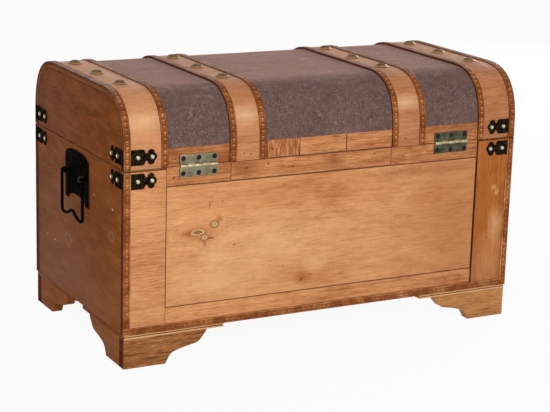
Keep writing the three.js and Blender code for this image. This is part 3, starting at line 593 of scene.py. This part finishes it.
def arch(inset, steps=30, low=LID_BOTTOM):
    """The section of the lid as (y, z) points from the back seam over to the front, set in from the outer
    face of the trims and cut off below `low`."""
    deep, high = SHOULDER_DEEP - inset, SHOULDER_HIGH - inset
    turns = [i / steps * math.pi / 2 for i in range(steps + 1)]
    shoulder = [(HALF_DEPTH - SHOULDER_DEEP + deep * math.cos(turn) ** SHOULDER_ROUND,
                 LID_TOP - SHOULDER_HIGH + high * math.sin(turn) ** SHOULDER_ROUND) for turn in turns]
    back = [(HALF_DEPTH - inset, LID_BOTTOM), *shoulder]
    if low > LID_BOTTOM:
        first = next(i for i, (_, z) in enumerate(back) if z > low)
        (y0, z0), (y1, z1) = back[first - 1], back[first]
        back = [(y0 + (y1 - y0) * (low - z0) / (z1 - z0), low), *back[first:]]
    return back + [(-y, z) for y, z in reversed(back)]


def bent_board(outer_inset, inner_inset, xs, low=LID_BOTTOM):
    """A board bent over the lid: two lines along its section, bridged and drawn out along the chest."""
    bm = bmesh.new()
    edges = [edge for inset in (outer_inset, inner_inset)
             for edge in line(bm, [(xs[0], y, z) for y, z in arch(inset, low=low)])]
    bmesh.ops.bridge_loops(bm, edges=edges)
    return faces_towards(drawn_out(bm, (xs[1] - xs[0], 0, 0)), 1, X, -X)


def measured(points):
    """The length of a line of (y, z) points, and what gives the place and outward direction along it."""
    runs = [0.0]
    for (y0, z0), (y1, z1) in zip(points, points[1:]):
        runs.append(runs[-1] + math.hypot(y1 - y0, z1 - z0))

    def at(distance):
        i = max(k for k in range(len(points) - 1) if runs[k] <= distance + 1e-9)
        (y0, z0), (y1, z1) = points[i], points[i + 1]
        step = runs[i + 1] - runs[i]
        part = (distance - runs[i]) / step
        return (y0 + (y1 - y0) * part, z0 + (z1 - z0) * part), ((z1 - z0) / step, (y0 - y1) / step)

    return runs[-1], at


# Woodwork

def walls():
    tones = {"back": {"stile_right": 0.02, "stile_left": -0.24, "bottom_rail": -0.05, "panel": 0.07},
             "front": {"stile_right": -0.02, "stile_left": 0.0, "bottom_rail": -0.05, "panel": 0.05}}
    knotty = {("back", "panel"): panel_pine, ("back", "stile_left"): stile_pine}
    for side, sy in SIDES.items():
        for part, tone in tones[side].items():
            planed(f"{side}_{part}", knotty.get((side, part), wall_pine), end_grain, bare_pine, tone=tone,
                   width=0.8 * mm, inside=-Y * sy)
    butted("back_top_rail", -Y, [-115.7, 174.4], [(wall_pine, -0.3), (rail_pine, -0.2), (wall_pine, -0.15)])
    butted("front_top_rail", Y, [42], [(wall_pine, -0.1), (wall_pine, -0.04)])
    butted("lid_rail_back", -Y, [-31, 54, 112],
           [(rail_pine, -0.2), (wall_pine, -0.05), (upright_pine, -0.12), (wall_pine, -0.42)])
    butted("lid_rail_front", Y, [63], [(wall_pine, -0.2), (wall_pine, -0.28)])
    for end, sx in ENDS.items():
        wood = knotty_end_pine if sx > 0 else end_pine
        planed(f"end_board_{end}", wood, wood, bare_pine, tone=0.04, width=0.5 * mm, inside=-X * sx)
        planed(f"lid_end_{end}", end_pine, end_pine, bare_pine, tone=-0.12, width=0.5 * mm, inside=-X * sx)
    planed("bottom_board", bare_pine, edge=0.0)


def lid_boards():
    shell = bent_board(SHELL_INSET, INNER_INSET, (-END_FACE, END_FACE), SHELL_BOTTOM)
    made("lid_shell_bent", eased(shell, 0.4 * mm, edge=-1.0), "lid", [bare_pine, end_pine],
         board=next_board(), stands_for=["lid_shell"])
    tones = {"right_end": -0.06, "right": -0.17, "left": -0.16, "left_end": -0.22}
    for strap, xs in STRAPS.items():
        # The straps' rounded edges are painted pale: partly wear, partly the highlight of light on the
        # rounded arris
        board = eased(bent_board(STRAP_INSET, RAIL_INSET - HAIR, xs), 0.5 * mm, edge=0.6)
        made(f"strap_{strap}_board", board, "lid", [strap_pine, end_grain], board=next_board(),
             tone=tones[strap], stands_for=[f"strap_{strap}"])


# How far the feet reach from their corner, the thickness of the strip on the cap's end, and the cap's layers,
# two thin plates and the core between them, each by its bottom, its top and how far it is set in
FOOT_LONG = 171 * mm
CAP_END = 1.0 * mm
CAP_LAYERS = [(48.0 * mm, 50.0 * mm, 0), (49.9 * mm, 52.1 * mm, 1.8 * mm), (52.0 * mm, 53.9 * mm, 0)]
CAP_TOP = CAP_LAYERS[-1][1]


def feet():
    """Each foot: a long board over the end of a shorter one, under a cap of two thin plates and a core."""
    for corner, (sx, sy) in CORNERS.items():
        node = f"foot_{corner}"
        long_tone = 0.35 if corner == "back_left" else -0.05
        for name, way, wood, end_wood, tone in (("long", -1, foot_pine, end_grain, long_tone),
                                                ("short", 1, end_pine, end_pine, 0.15)):
            seam_at = (0, sy * (FOOT_FACE_Y - FOOT_BOARD - way * HAIR), 0)
            board = sawn(sawn(merged_copy(node), (0, 0, FOOT_HEIGHT - HAIR), Z), seam_at, Y * sy * way)
            faces_towards(board, 1, X * sx)
            made(f"{node}_{name}_board", eased(board, 0.7 * mm, edge=0.35), "body",
                 [wood, end_wood], board=next_board(), tone=tone, stands_for=[node])
        layers = []
        for low, high, inset in CAP_LAYERS:
            inner_x, inner_y = (face - FOOT_LONG + inset for face in (FOOT_FACE_X, FOOT_FACE_Y))
            outer_x, outer_y = FOOT_FACE_X - CAP_END + 2 * HAIR, FOOT_FACE_Y - inset
            layers.append(block((sx * inner_x, sy * inner_y, low), (sx * outer_x, sy * outer_y, high),
                                0.3 * mm))
        # The core, set back between the plates, takes the dark end-grain stain, which also paints the shade
        # in the groove
        for face in layers[1].faces:
            face.material_index = 1
        made(f"{node}_cap", joined(*layers), "body", [cap_pine, end_grain], board=next_board(),
             tone=0.1, stands_for=[node])
        strip = block((sx * (FOOT_FACE_X - CAP_END), sy * (FOOT_FACE_Y - FOOT_LONG), FOOT_HEIGHT),
                      (sx * FOOT_FACE_X, sy * (FOOT_FACE_Y - 0.5 * mm), CAP_TOP))
        made(f"{node}_cap_end", eased(strip, 0.4 * mm, edge=-1.0), "body", [end_pine],
             board=next_board(), stands_for=[node])


# Where the sprigs' holes are on the back, by x and z, and their filling by radius and height, in millimetres,
# and how far it is sunk
NAIL_HOLES = [(153.1, 325.8), (141.6, 324.1), (-140.8, 326.2), (102.7, 328.6), (-277.6, 326.3),
              (268.8, 325.2), (109.4, 305.0), (65.8, 297.0), (146.8, 301.4), (-83.8, 305.7), (-139.6, 296.5),
              (-153.6, 306.9), (270.9, 296.3), (-276.4, 299.8)]
FILLING, SUNK = [(0, 0), (1.3, 0), (1.1, 0.07), (0, 0.1)], 0.02 * mm


def nail_holes():
    """Filled holes of the sprigs that hold the back rails and the straps."""
    plugs = {"body": [], "lid": []}
    for x, z in NAIL_HOLES:
        on_lid = z * mm > SEAM
        on_strap = on_lid and any(low < x * mm < high for low, high in STRAPS.values())
        face = STRAP_FACE if on_strap else RAIL_FACE
        plug = turned(FILLING, 12, (x * mm, face - SUNK, z * mm), Y)
        plugs["lid" if on_lid else "body"].append(plug)
    for body, parts in plugs.items():
        made(f"{body}_filled_nail_holes", joined(*parts), body, [dark_filler_and_shade])


# Cloth

CANVAS_THICK, CANVAS_STEPS = 0.9 * mm, (90, 110)


def cloth():
    """The canvas, stretched over the shell between the end straps."""
    length, at = measured(arch(RAIL_INSET, 48, SHELL_BOTTOM))
    half = END_FACE - TRIM_WIDE
    bm = bmesh.new()
    bmesh.ops.create_grid(bm, x_segments=CANVAS_STEPS[0], y_segments=CANVAS_STEPS[1], size=1)
    uv = bm.loops.layers.uv.new("cloth")
    for vert in bm.verts:
        along, across = (vert.co.y + 1) / 2 * length, vert.co.x * half
        for loop in vert.link_loops:
            loop[uv].uv = (across, along)
        (y, z), _ = at(min(along, length))
        vert.co = (-across, y, z)
    bmesh.ops.solidify(bm, geom=bm.faces[:], thickness=CANVAS_THICK)
    piece = made("lid_cloth_canvas", bm, "lid", [lid_canvas], 60, stands_for=["lid_cloth"])


# Leather trims: a strip with a rim along each edge and a row of pillows in the channel between them

PITCH = 9.2 * mm
# Along one pillow: place, how far it swells, and the painted light on it: painted shade in the groove between
# pillows, and a painted highlight on its upper edge, where light from above catches the slope
SWELL = [(0.0, 0.0, -1.3), (0.12, 0.6, -0.2), (0.45, 1.0, 0.5), (0.74, 0.95, 0.7), (0.86, 0.8, 2.4),
         (0.94, 0.5, 0.3)]
# Across the strip: place, height, what the pillow adds to it, shade of the dye, and what the pillow adds
LOW_SIDE = [(-0.5, 0.5, 0, 0.05, 0), (-0.46, 0.8, 0, 0.38, 0), (-0.37, 0.86, 0, 0.5, 0),
            (-0.28, 0.66, 0, 0.4, 0), (-0.235, 0.58, 0.04, 0.26, 0.02), (-0.14, 0.6, 0.24, 0.4, 0.14)]
HIGH_SIDE = [(-across, *values) for across, *values in reversed(LOW_SIDE)]
PROFILE = [*LOW_SIDE, (0.0, 0.6, 0.3, 0.44, 0.18), *HIGH_SIDE]
# The dye on the cut edges of a strip
CUT_SHADE = 0.22


def embossed_strip(place, length, width, painted_light_strength, inner_rim=0.0):
    """`place` turns a distance along, a distance across and a height into a point on the chest. The fourth
    argument scales the painted highlight and shade on the pillows, and the fifth makes the inner rim, on the
    low side across, paler."""
    count = round(length / PITCH)
    rows = [((k + along) / count * length, swell, painted_light) for k in range(count) for along, swell, painted_light in SWELL]
    rows.append((length, *SWELL[0][1:]))
    bm = bmesh.new()
    bmesh.ops.create_grid(bm, x_segments=len(rows) - 1, y_segments=len(PROFILE) - 1, size=1)
    layer = bm.verts.layers.float.new("shade")
    where = {}
    for vert in bm.verts:
        along, swell, painted_light = rows[round((vert.co.x + 1) / 2 * (len(rows) - 1))]
        across, height, pillow, shade, pillow_shade = PROFILE[round((vert.co.y + 1) / 2 * (len(PROFILE) - 1))]
        where[vert] = (along, across * width)
        # The dye's shade, with the painted highlight and shade along the pillows added to it
        vert[layer] = shade + pillow_shade * painted_light * painted_light_strength + (inner_rim if across < -0.4 else 0)
        vert.co = place(along, across * width, (height + pillow * swell) * TRIM_THICK)
    rims = [e for e in bm.edges if e.is_boundary and where[e.verts[0]][1] == where[e.verts[1]][1]]
    skirt = bmesh.ops.extrude_edge_only(bm, edges=rims)["geom"]
    for vert in (v for v in skirt if isinstance(v, bmesh.types.BMVert)):
        above = next(e.other_vert(vert) for e in vert.link_edges if e.other_vert(vert) in where)
        vert.co = place(*where[above], 0.0)
        vert[layer] = CUT_SHADE
    bmesh.ops.bridge_loops(bm, edges=[e for e in skirt if isinstance(e, bmesh.types.BMEdge)])
    bmesh.ops.holes_fill(bm, edges=[e for e in bm.edges if e.is_boundary], sides=0)
    bmesh.ops.recalc_face_normals(bm, faces=bm.faces)
    return bm


# The trims between the two ends of the lid are narrower, and each laps over the edge of its strap
STRAP_TRIM_WIDE, LAP, TRIM_STEPS = 11 * mm, 0.2 * mm, 60


def lid_trims():
    length, at = measured(arch(TRIM_THICK, TRIM_STEPS))
    for strap, (low, high) in STRAPS.items():
        edges = {"a": (high - STRAP_TRIM_WIDE, high + LAP), "b": (low - LAP, low + STRAP_TRIM_WIDE)}
        if high == END_FACE:
            edges["a"] = (HALF_WIDTH - TRIM_WIDE, HALF_WIDTH)
        if low == -END_FACE:
            edges["b"] = (-HALF_WIDTH, TRIM_WIDE - HALF_WIDTH)
        for edge, (x0, x1) in edges.items():

            def place(along, across, height):
                (y, z), (out_y, out_z) = at(min(along, length))
                return Vector(((x0 + x1) / 2 + across, y + out_y * height, z + out_z * height))

            made(f"strap_trim_{strap}_{edge}_embossed", embossed_strip(place, length, x1 - x0, 1.3), "lid",
                 [leather], 50, stands_for=[f"strap_trim_{strap}_{edge}"])


# The strip along the bottom, and the folded top of an upright: its depth and how far it goes down inside
FOOT_TRIM_WIDE = 11.5 * mm
FOLD_DEEP, FOLD_DOWN = 4.5 * mm, 2.4 * mm


def body_edging():
    """The strips up the corners and along the bottom. The back uprights stop short of the lid's trims, which
    swing past them, and their folded tops fill the corners behind. The front ones reach the seam."""
    base = HALF_DEPTH - TRIM_THICK
    upright_middle, upright_foot = HALF_WIDTH - TRIM_WIDE / 2, BODY_BOTTOM + FOOT_TRIM_WIDE
    foot_middle = BODY_BOTTOM + FOOT_TRIM_WIDE / 2
    for side, sy in SIDES.items():
        top = {"back": STILE_TOP, "front": BODY_TOP}[side]

        def upright(sx, along, across, height):
            return Vector((sx * (upright_middle + across), sy * (base + height), upright_foot + along))

        def foot(along, across, height):
            return Vector((along - HALF_WIDTH, sy * (base + height), foot_middle - across))

        strips = [embossed_strip(partial(upright, sx), top - upright_foot, TRIM_WIDE, 0.7, 0.4)
                  for sx in ENDS.values()]
        strips.append(embossed_strip(foot, HALF_WIDTH * 2, FOOT_TRIM_WIDE, 0.3, 0.3))
        strips += [block((sx * (END_FACE - HAIR), sy * (base - FOLD_DEEP), STILE_TOP - FOLD_DOWN),
                         (sx * (HALF_WIDTH + LAP), sy * base, BODY_TOP)) for sx in ENDS.values()]
        made(f"body_edging_{side}_embossed", joined(*strips), "body", [leather], 50,
             tone=0.07, stands_for=[f"body_edging_{side}"])


# Ironwork

# What is turned, by radius and height in millimetres
BUTTON = [(0, 0), (11.7, 0), (12.0, 0.5), (11.7, 1.1), (11.0, 1.4), (10.4, 1.15), (9.8, 1.6), (8.8, 3.0),
          (7.0, 4.4), (4.6, 5.3), (2.2, 5.7), (0, 5.8)]
NAIL = [(0, 0), (4.4, 0), (4.5, 0.35), (4.25, 0.95), (3.6, 1.6), (2.5, 2.15), (1.2, 2.45), (0, 2.5)]
FLAT_SCREW = [(0, 0), (3.9, 0), (3.9, 0.2), (2.9, 0.4), (0, 0.45)]
DOMED_SCREW = [(0, 0), (3.0, 0), (2.8, 0.7), (1.8, 1.35), (0, 1.6)]
PIN = [(0, 0), (0.9, 0), (0.7, 0.35), (0, 0.5)]
EYE = [(2.7, 0.3), (3.0, 0), (4.9, 0), (5.2, 0.3), (5.2, 2.7), (4.9, 3), (3.0, 3), (2.7, 2.7), (2.7, 0.3)]

BUTTON_PITCH, BUTTON_SHIFT = 95 * mm, 3 * mm


def buttons():
    """Three on each strap. On the two end straps they sit a little nearer the ends."""
    for strap, (low, high) in STRAPS.items():
        shift = math.copysign(BUTTON_SHIFT, low) if strap.endswith("end") else 0
        heads = [turned(BUTTON, 32, ((low + high) / 2 + shift, y, LID_TOP - STRAP_INSET), Z, rubbed=0.25)
                 for y in (-BUTTON_PITCH, 0, BUTTON_PITCH)]
        made(f"strap_{strap}_buttons", joined(*heads), "lid", [button_brass], 50,
             stands_for=[f"strap_{strap}"])


# The brackets: half their height, their sheet and where the nails are from the corner, in millimetres
BRACKET_HALF, BRACKET_THICK, BRACKET_NAILS = 12.15, 0.9, (23, 46.5)
BRACKET_MIDDLES = {"body": SEAM + (BRACKET_HALF - 29.5) * mm, "lid": SEAM + (BRACKET_HALF + 7.4) * mm}


def bracket_leg(place, raised):
    """One leg of a bracket: a bar, a waist and a three-lobed end. `place` turns a distance from the corner
    and a height from the middle into a point."""
    half = [(0, BRACKET_HALF), (30.5, BRACKET_HALF), (32.6, 11.7), (33.9, 10.5), (34.6, 8.6), (36.0, 6.0),
            (37.4, 5.5), (39.0, 6.4)]
    half += [(44.9 + 5.7 * math.cos(angle), 6.4 + 5.7 * math.sin(angle))
             for angle in (math.radians(185 - step * 24) for step in range(9))]
    half += [(48.6 + 5.8 * math.cos(angle), 5.7 * math.sin(angle))
             for angle in (math.radians(48 - step * 16) for step in range(4))]
    outline = half + [(u, -v) for u, v in reversed(half[:-1])]
    return plate([place(u * mm, v * mm) for u, v in outline], raised * BRACKET_THICK * mm, 0.35 * mm)


def brackets():
    x_face, y_face, sheet = END_FACE + HAIR, STRAP_FACE + HAIR, BRACKET_THICK * mm
    for body, middle in BRACKET_MIDDLES.items():
        for corner, (sx, sy) in CORNERS.items():

            def on_side(u, v, rise=0.0):
                return Vector((sx * (x_face + sheet - u), sy * (y_face + rise), middle + v))

            def on_end(u, v, rise=0.0):
                return Vector((sx * (x_face + rise), sy * (y_face + sheet - u), middle + v))

            node = f"{body}_bracket_{corner}"
            made(f"{node}_plate", joined(bracket_leg(on_side, Y * sy), bracket_leg(on_end, X * sx)), body,
                 [black_steel], 40, stands_for=[node])
            # Their bright crowns are partly a painted highlight
            heads = [turned(NAIL, 20, leg(u * mm, 0, sheet - HAIR), direction)
                     for leg, direction in ((on_side, Y * sy), (on_end, X * sx)) for u in BRACKET_NAILS]
            made(f"{node}_nails", joined(*heads), body, [nail_brass], 50, stands_for=[node])


# The hinges: the knuckles round their pin, the leaf's near and far edges from the seam and how far its
# knuckles lap on to it, its outer screws from its ends, and the gap beside it, where a dark block paints the
# shade
HINGE_LONG, HINGE_MIDDLE, KNUCKLES = 63.5 * mm, 229.75 * mm, 5
KNUCKLE_RADIUS, KNUCKLE_GAP, PIN_RADIUS = 2.3 * mm, 0.7 * mm, 1.1 * mm
LEAF_THICK, LEAF_NEAR, LEAF_FAR, LEAF_LAP = 1.4 * mm, 2.65 * mm, 17.4 * mm, 0.3 * mm
SCREW_IN, SCREW_FOOT, SCREW_FAR = 5.6 * mm, 1.2 * mm, 11.8 * mm
MORTISE_GAP, MORTISE_DEEP = 0.8 * mm, 0.5 * mm


def hinges():
    face, half, pitch = RAIL_FACE + HAIR, HINGE_LONG / 2, HINGE_LONG / KNUCKLES
    axis = face + KNUCKLE_RADIUS
    for end, sx in ENDS.items():
        low, high = sx * HINGE_MIDDLE - half, sx * HINGE_MIDDLE + half
        # The hinge at the left end is given a darker brass than the one at the right
        brass = hinge_brass if sx > 0 else dull_brass
        for body, sz in (("body", -1), ("lid", 1)):
            node = f"hinge_{body}_leaf_{end}"
            near, far = SEAM + sz * LEAF_NEAR, SEAM + sz * LEAF_FAR
            leaf = block((low, face, near), (high, face + LEAF_THICK, far), 0.3 * mm)
            made(f"{node}_plate", leaf, body, [brass], stands_for=[node])
            barrel = []
            for i in range(0 if body == "body" else 1, KNUCKLES, 2):
                x0, x1 = low + i * pitch + KNUCKLE_GAP / 2, low + (i + 1) * pitch - KNUCKLE_GAP / 2
                barrel += [rod(KNUCKLE_RADIUS, (x0, axis, SEAM), (x1, axis, SEAM), 28, 0.2 * mm),
                           block((x0, face, SEAM), (x1, face + LEAF_THICK, near + sz * LEAF_LAP))]
            if body == "body":
                barrel.append(rod(PIN_RADIUS, (low, axis, SEAM), (high, axis, SEAM), 16))
                for steel_face in barrel[-1].faces:
                    steel_face.material_index = 1
            made(f"{node}_barrel", joined(*barrel), body, [barrel_brass, screw_steel], 40,
                 stands_for=[node])
            # A dark block in the gap beside the leaf: painted shade in the mortise
            gap = block((high, face - MORTISE_DEEP, near), (high + MORTISE_GAP, face + HAIR / 2, far))
            made(f"{node}_mortise_gap_painted_shade", gap, body, [dark_filler_and_shade])
            heads = [turned(FLAT_SCREW, 20, (x, face + SCREW_FOOT, SEAM + sz * SCREW_FAR), Y)
                     for x in (low + SCREW_IN, sx * HINGE_MIDDLE, high - SCREW_IN)]
            made(f"{node}_screws", joined(*heads), body, [screw_steel], 50, stands_for=[node])


# The handles in millimetres, with heights from the bail's axis: the plate's half width, foot and shoulders,
# how high its top bows and with what power, the arch cut out of its foot, then rib, eyes, lugs and screws
BAIL_HEIGHT = 268
PLATE_HALF, PLATE_FOOT, PLATE_SHOULDER, PLATE_THICK = 51, -46, 22, 1.5
TOP_BOW, BOW_POWER = 16, 2.3
CUT_HALF, CUT_BOW = 36, 11
ON_PLATE = PLATE_THICK - 0.1
RIB_HALF, RIB_LEVEL, RIB_RADIUS = 42, -19.5, 1.5
EYE_PLACE, EYE_OUT, EYE_THICK = 35.2, 9.3, 3
LUG_HALF, LUG_IN, LUG_OUT = 4.4, 1.0, 6.2
SCREW_PLACE, SCREW_LEVEL = 19, 22.5


def handle_plate(end, sx):
    """A cast plate with a bowed top, an arch cut out below, two eyes for the bail, a rib and two screws."""
    def at(y, z, out=0.0):
        return Vector((sx * (END_FACE + HAIR + out * mm), y * mm, (BAIL_HEIGHT + z) * mm))

    def bow(share):
        return max(0.0, 1 - abs(share) ** BOW_POWER) ** (1 / BOW_POWER)

    shares = [math.cos(i / 28 * math.pi) for i in range(29)]
    outline = [at(PLATE_HALF, PLATE_FOOT),
               *(at(PLATE_HALF * share, PLATE_SHOULDER + TOP_BOW * bow(share)) for share in shares),
               at(-PLATE_HALF, PLATE_FOOT),
               *(at(-CUT_HALF * share, PLATE_FOOT + CUT_BOW * bow(share)) for share in shares)]
    rib = rod(RIB_RADIUS * mm, *(at(y, RIB_LEVEL, ON_PLATE) for y in (-RIB_HALF, RIB_HALF)), 16, 0.7 * mm)
    parts = [plate(outline, X * sx * PLATE_THICK * mm, 0.4 * mm), rib]
    for sy in (1, -1):
        inner, outer = sy * EYE_PLACE, sy * (EYE_PLACE + EYE_THICK)
        parts += [turned(EYE, 28, at(inner, 0, EYE_OUT), Y * sy),
                  block(at(inner, -LUG_HALF, LUG_IN), at(outer, LUG_HALF, LUG_OUT), 0.4 * mm),
                  turned(DOMED_SCREW, 20, at(sy * SCREW_PLACE, SCREW_LEVEL, ON_PLATE), X * sx)]
    made(f"handle_plate_{end}_cast", joined(*parts), "body", [iron], 40,
         stands_for=[f"handle_plate_{end}"])


# Half of a bail's wire, from a stub's tip to the middle of the grip: (y, z) in millimetres from its axis
BAIL = [(33.2, 0), (38.2, 0), (42.2, 0), (44.1, -0.6), (44.6, -2.6), (44.6, -20), (44.6, -45), (44.4, -62.5),
        (43.5, -66.3), (41.2, -68.3), (37.2, -69.2), (29.5, -69.1), (20.4, -67.0), (12, -63.6), (5, -60.4),
        (0, -59.3)]
BAIL_OUT, WIRE_RADIUS = 363.2 * mm, 2.4 * mm


def bail(end, sx):
    """A round wire bent into two stubs, two arms and a grip that rises in the middle."""
    path = bpy.data.curves.new("bail_path", "CURVE")
    path.dimensions = "3D"
    path.bevel_depth, path.bevel_resolution, path.resolution_u = WIRE_RADIUS, 5, 4
    path.use_fill_caps = True
    spline = path.splines.new("BEZIER")
    points = [*BAIL, *((-y, z) for y, z in reversed(BAIL[:-1]))]
    spline.bezier_points.add(len(points) - 1)
    for knot, (y, z) in zip(spline.bezier_points, points):
        knot.co = (sx * BAIL_OUT, y * mm, (BAIL_HEIGHT + z) * mm)
        knot.handle_left_type = knot.handle_right_type = "AUTO"
    holder = placed("bail_path", path)
    bpy.context.view_layer.update()
    mesh = bpy.data.meshes.new_from_object(holder)
    bm = bmesh.new()
    bm.from_mesh(mesh)
    bmesh.ops.remove_doubles(bm, verts=bm.verts, dist=1e-6)
    bmesh.ops.recalc_face_normals(bm, faces=bm.faces)
    bpy.data.objects.remove(holder)
    bpy.data.curves.remove(path)
    bpy.data.meshes.remove(mesh)
    made(f"handle_bail_{end}_wire", bm, f"bail_{end}", [iron], 60,
         stands_for=[f"handle_bail_{end}"])


# The keyhole plate in millimetres: the height of the hole, the plate's half width and half height, the power
# that draws its corners out, its thickness and pins, then the hole and its slot and how deep the dark plug in
# the hole is, which paints the shade inside it
KEYHOLE_HEIGHT = 300.9
STAR_HALF_WIDE, STAR_HALF_HIGH, STAR_POWER, STAR_THICK = 12.5, 13.5, 1.5, 1.0
PIN_LEVELS = (-10, 9.6)
HOLE_RADIUS, SLOT_HALF, SLOT_FOOT, HOLE_DEEP = 2.6, 1.1, -7.5, 0.3


def escutcheon():
    """A star-cornered plate round the keyhole, held by two pins."""
    def at(x, z):
        return Vector((x * mm, -(RAIL_FACE + HAIR), (KEYHOLE_HEIGHT + z) * mm))

    def bow(share):
        return math.copysign(abs(share) ** STAR_POWER, share)

    turns = [i / 48 * math.tau for i in range(48)]
    rim = [at(STAR_HALF_WIDE * bow(math.cos(turn)), STAR_HALF_HIGH * bow(math.sin(turn))) for turn in turns]
    half = math.asin(SLOT_HALF / HOLE_RADIUS)
    turns = [half - math.pi / 2 + i / 20 * (math.tau - 2 * half) for i in range(21)]
    hole = [at(HOLE_RADIUS * math.cos(turn), HOLE_RADIUS * math.sin(turn)) for turn in turns]
    hole += [at(-SLOT_HALF, SLOT_FOOT), at(SLOT_HALF, SLOT_FOOT)]
    # A thin dark plug in the shape of the hole, on the rail behind the plate: painted shade inside the
    # keyhole
    keyhole_shade = plate([point + Y * HAIR for point in hole], -Y * HOLE_DEEP * mm, 0.02 * mm)
    made("lock_keyhole_painted_shade", keyhole_shade, "body", [dark_filler_and_shade])
    pins = [turned(PIN, 12, at(0, z) - Y * (STAR_THICK * mm - HAIR / 2), -Y) for z in PIN_LEVELS]
    star = plate(rim, -Y * STAR_THICK * mm, 0.25 * mm, [hole])
    made("lock_escutcheon_plate", joined(star, *pins), "body", [hinge_brass], 40,
         stands_for=["lock_escutcheon"])


def ironwork():
    for end, sx in ENDS.items():
        handle_plate(end, sx)
        bail(end, sx)
    for node, material in (("lock_case", iron), ("lock_catch", iron), ("lock_bolt", bright_steel),
                           ("stay_arm", bright_steel), ("stay_lid_pivot", bright_steel),
                           ("stay_body_pin", bright_steel)):
        planed(node, material, width=0.3 * mm, edge=1.0)


walls()
lid_boards()
feet()
nail_holes()
cloth()
lid_trims()
body_edging()
buttons()
brackets()
hinges()
ironwork()
escutcheon()


# Floor, light and camera

# How much of the paper is a white glow where it is seen, and how bright the room is where it isn't seen
PAPER_GLOW, ROOM_LIGHT = 0.93, 0.3
# Where the lens stands, its azimuth, elevation and roll in degrees, and its focal length
CAMERA_PLACE, CAMERA_TURN, FOCAL_LENGTH = (1.309, 2.460, 0.903), (151.89, 14.53, 1.62), 110.5


def seen(node):
    """1 where the camera looks, straight, in a shine or through something clear, and 0 for other light."""
    path = node("LightPath").node.outputs
    looks = node("Math", {0: path["Is Camera Ray"], 1: path["Is Glossy Ray"]}, operation="MAXIMUM")
    return node("Math", {0: looks, 1: path["Is Transmission Ray"]}, operation="MAXIMUM")


def floor():
    """White paper. Where it is seen it is nearly all a glow, so that it melts into the room, and the rest
    takes the chest's shadow."""
    bm = bmesh.new()
    bmesh.ops.create_grid(bm, x_segments=1, y_segments=1, size=30)
    mesh = bpy.data.meshes.new("floor")
    bm.to_mesh(mesh)
    bm.free()
    material, node, surface, _ = finish("matt_paper", Roughness=0.9, Base_Color=linear("#f2f2f2"))
    share = node("Math", {0: seen(node), 1: PAPER_GLOW}, operation="MULTIPLY")
    white = node("Emission", {"Color": (1, 1, 1, 1), "Strength": 1.0})
    mix = node("MixShader", {0: share, 1: surface.outputs[0], 2: white})
    out = next(n for n in material.node_tree.nodes if n.type == "OUTPUT_MATERIAL")
    material.node_tree.links.new(mix, out.inputs["Surface"])
    mesh.materials.append(material)
    piece = placed("floor", mesh)


def studio():
    """A dim room that looks white to the camera and in reflections."""
    sky = bpy.data.worlds.new("studio")
    bpy.context.scene.world = sky
    sky.use_nodes = True
    sky.node_tree.nodes.clear()
    node = partial(add, sky.node_tree)
    strength = node("MapRange", {"Value": seen(node), "To Min": ROOM_LIGHT})
    node("OutputWorld", {"Surface": node("Background", {"Color": (1, 1, 1, 1), "Strength": strength})})


def softbox(name, place, aim, size, power):
    """A lamp with its place, the point it is aimed at and its size in metres, and its power in watts."""
    lamp = bpy.data.lights.new(name, "AREA")
    lamp.shape, lamp.size, lamp.size_y, lamp.energy = "RECTANGLE", size[0], size[1], power
    holder = placed(name, lamp)
    holder.location = place
    holder.rotation_euler = (Vector(aim) - Vector(place)).to_track_quat("-Z", "Y").to_euler()


def camera():
    azimuth, elevation, roll = (math.radians(angle) for angle in CAMERA_TURN)
    back = Vector((math.sin(azimuth) * math.cos(elevation), -math.cos(azimuth) * math.cos(elevation),
                   math.sin(elevation)))
    level = (-back).cross(Z).normalized()
    upright = level.cross(-back)
    right = math.cos(roll) * level + math.sin(roll) * upright
    up = -math.sin(roll) * level + math.cos(roll) * upright
    lens = bpy.data.cameras.new("camera")
    lens.sensor_width, lens.lens, lens.clip_start, lens.clip_end = 36, FOCAL_LENGTH, 0.1, 100
    holder = placed("camera", lens)
    turn = Matrix((right, up, back)).transposed().to_4x4()
    holder.matrix_world = Matrix.Translation(CAMERA_PLACE) @ turn
    bpy.context.scene.camera = holder


floor()
studio()
softbox("key", (1.0, 2.9, 1.6), (0.05, 0.1, 0.22), (2.4, 1.6), 64)
softbox("top", (-0.4, 0.2, 2.6), (0, 0, 0.4), (1.6, 1.2), 3)
softbox("front", (-2.6, -1.4, 0.9), (0, 0, 0.22), (1.4, 1.2), 42)
camera()

bpy.context.scene.view_settings.view_transform = "Standard"
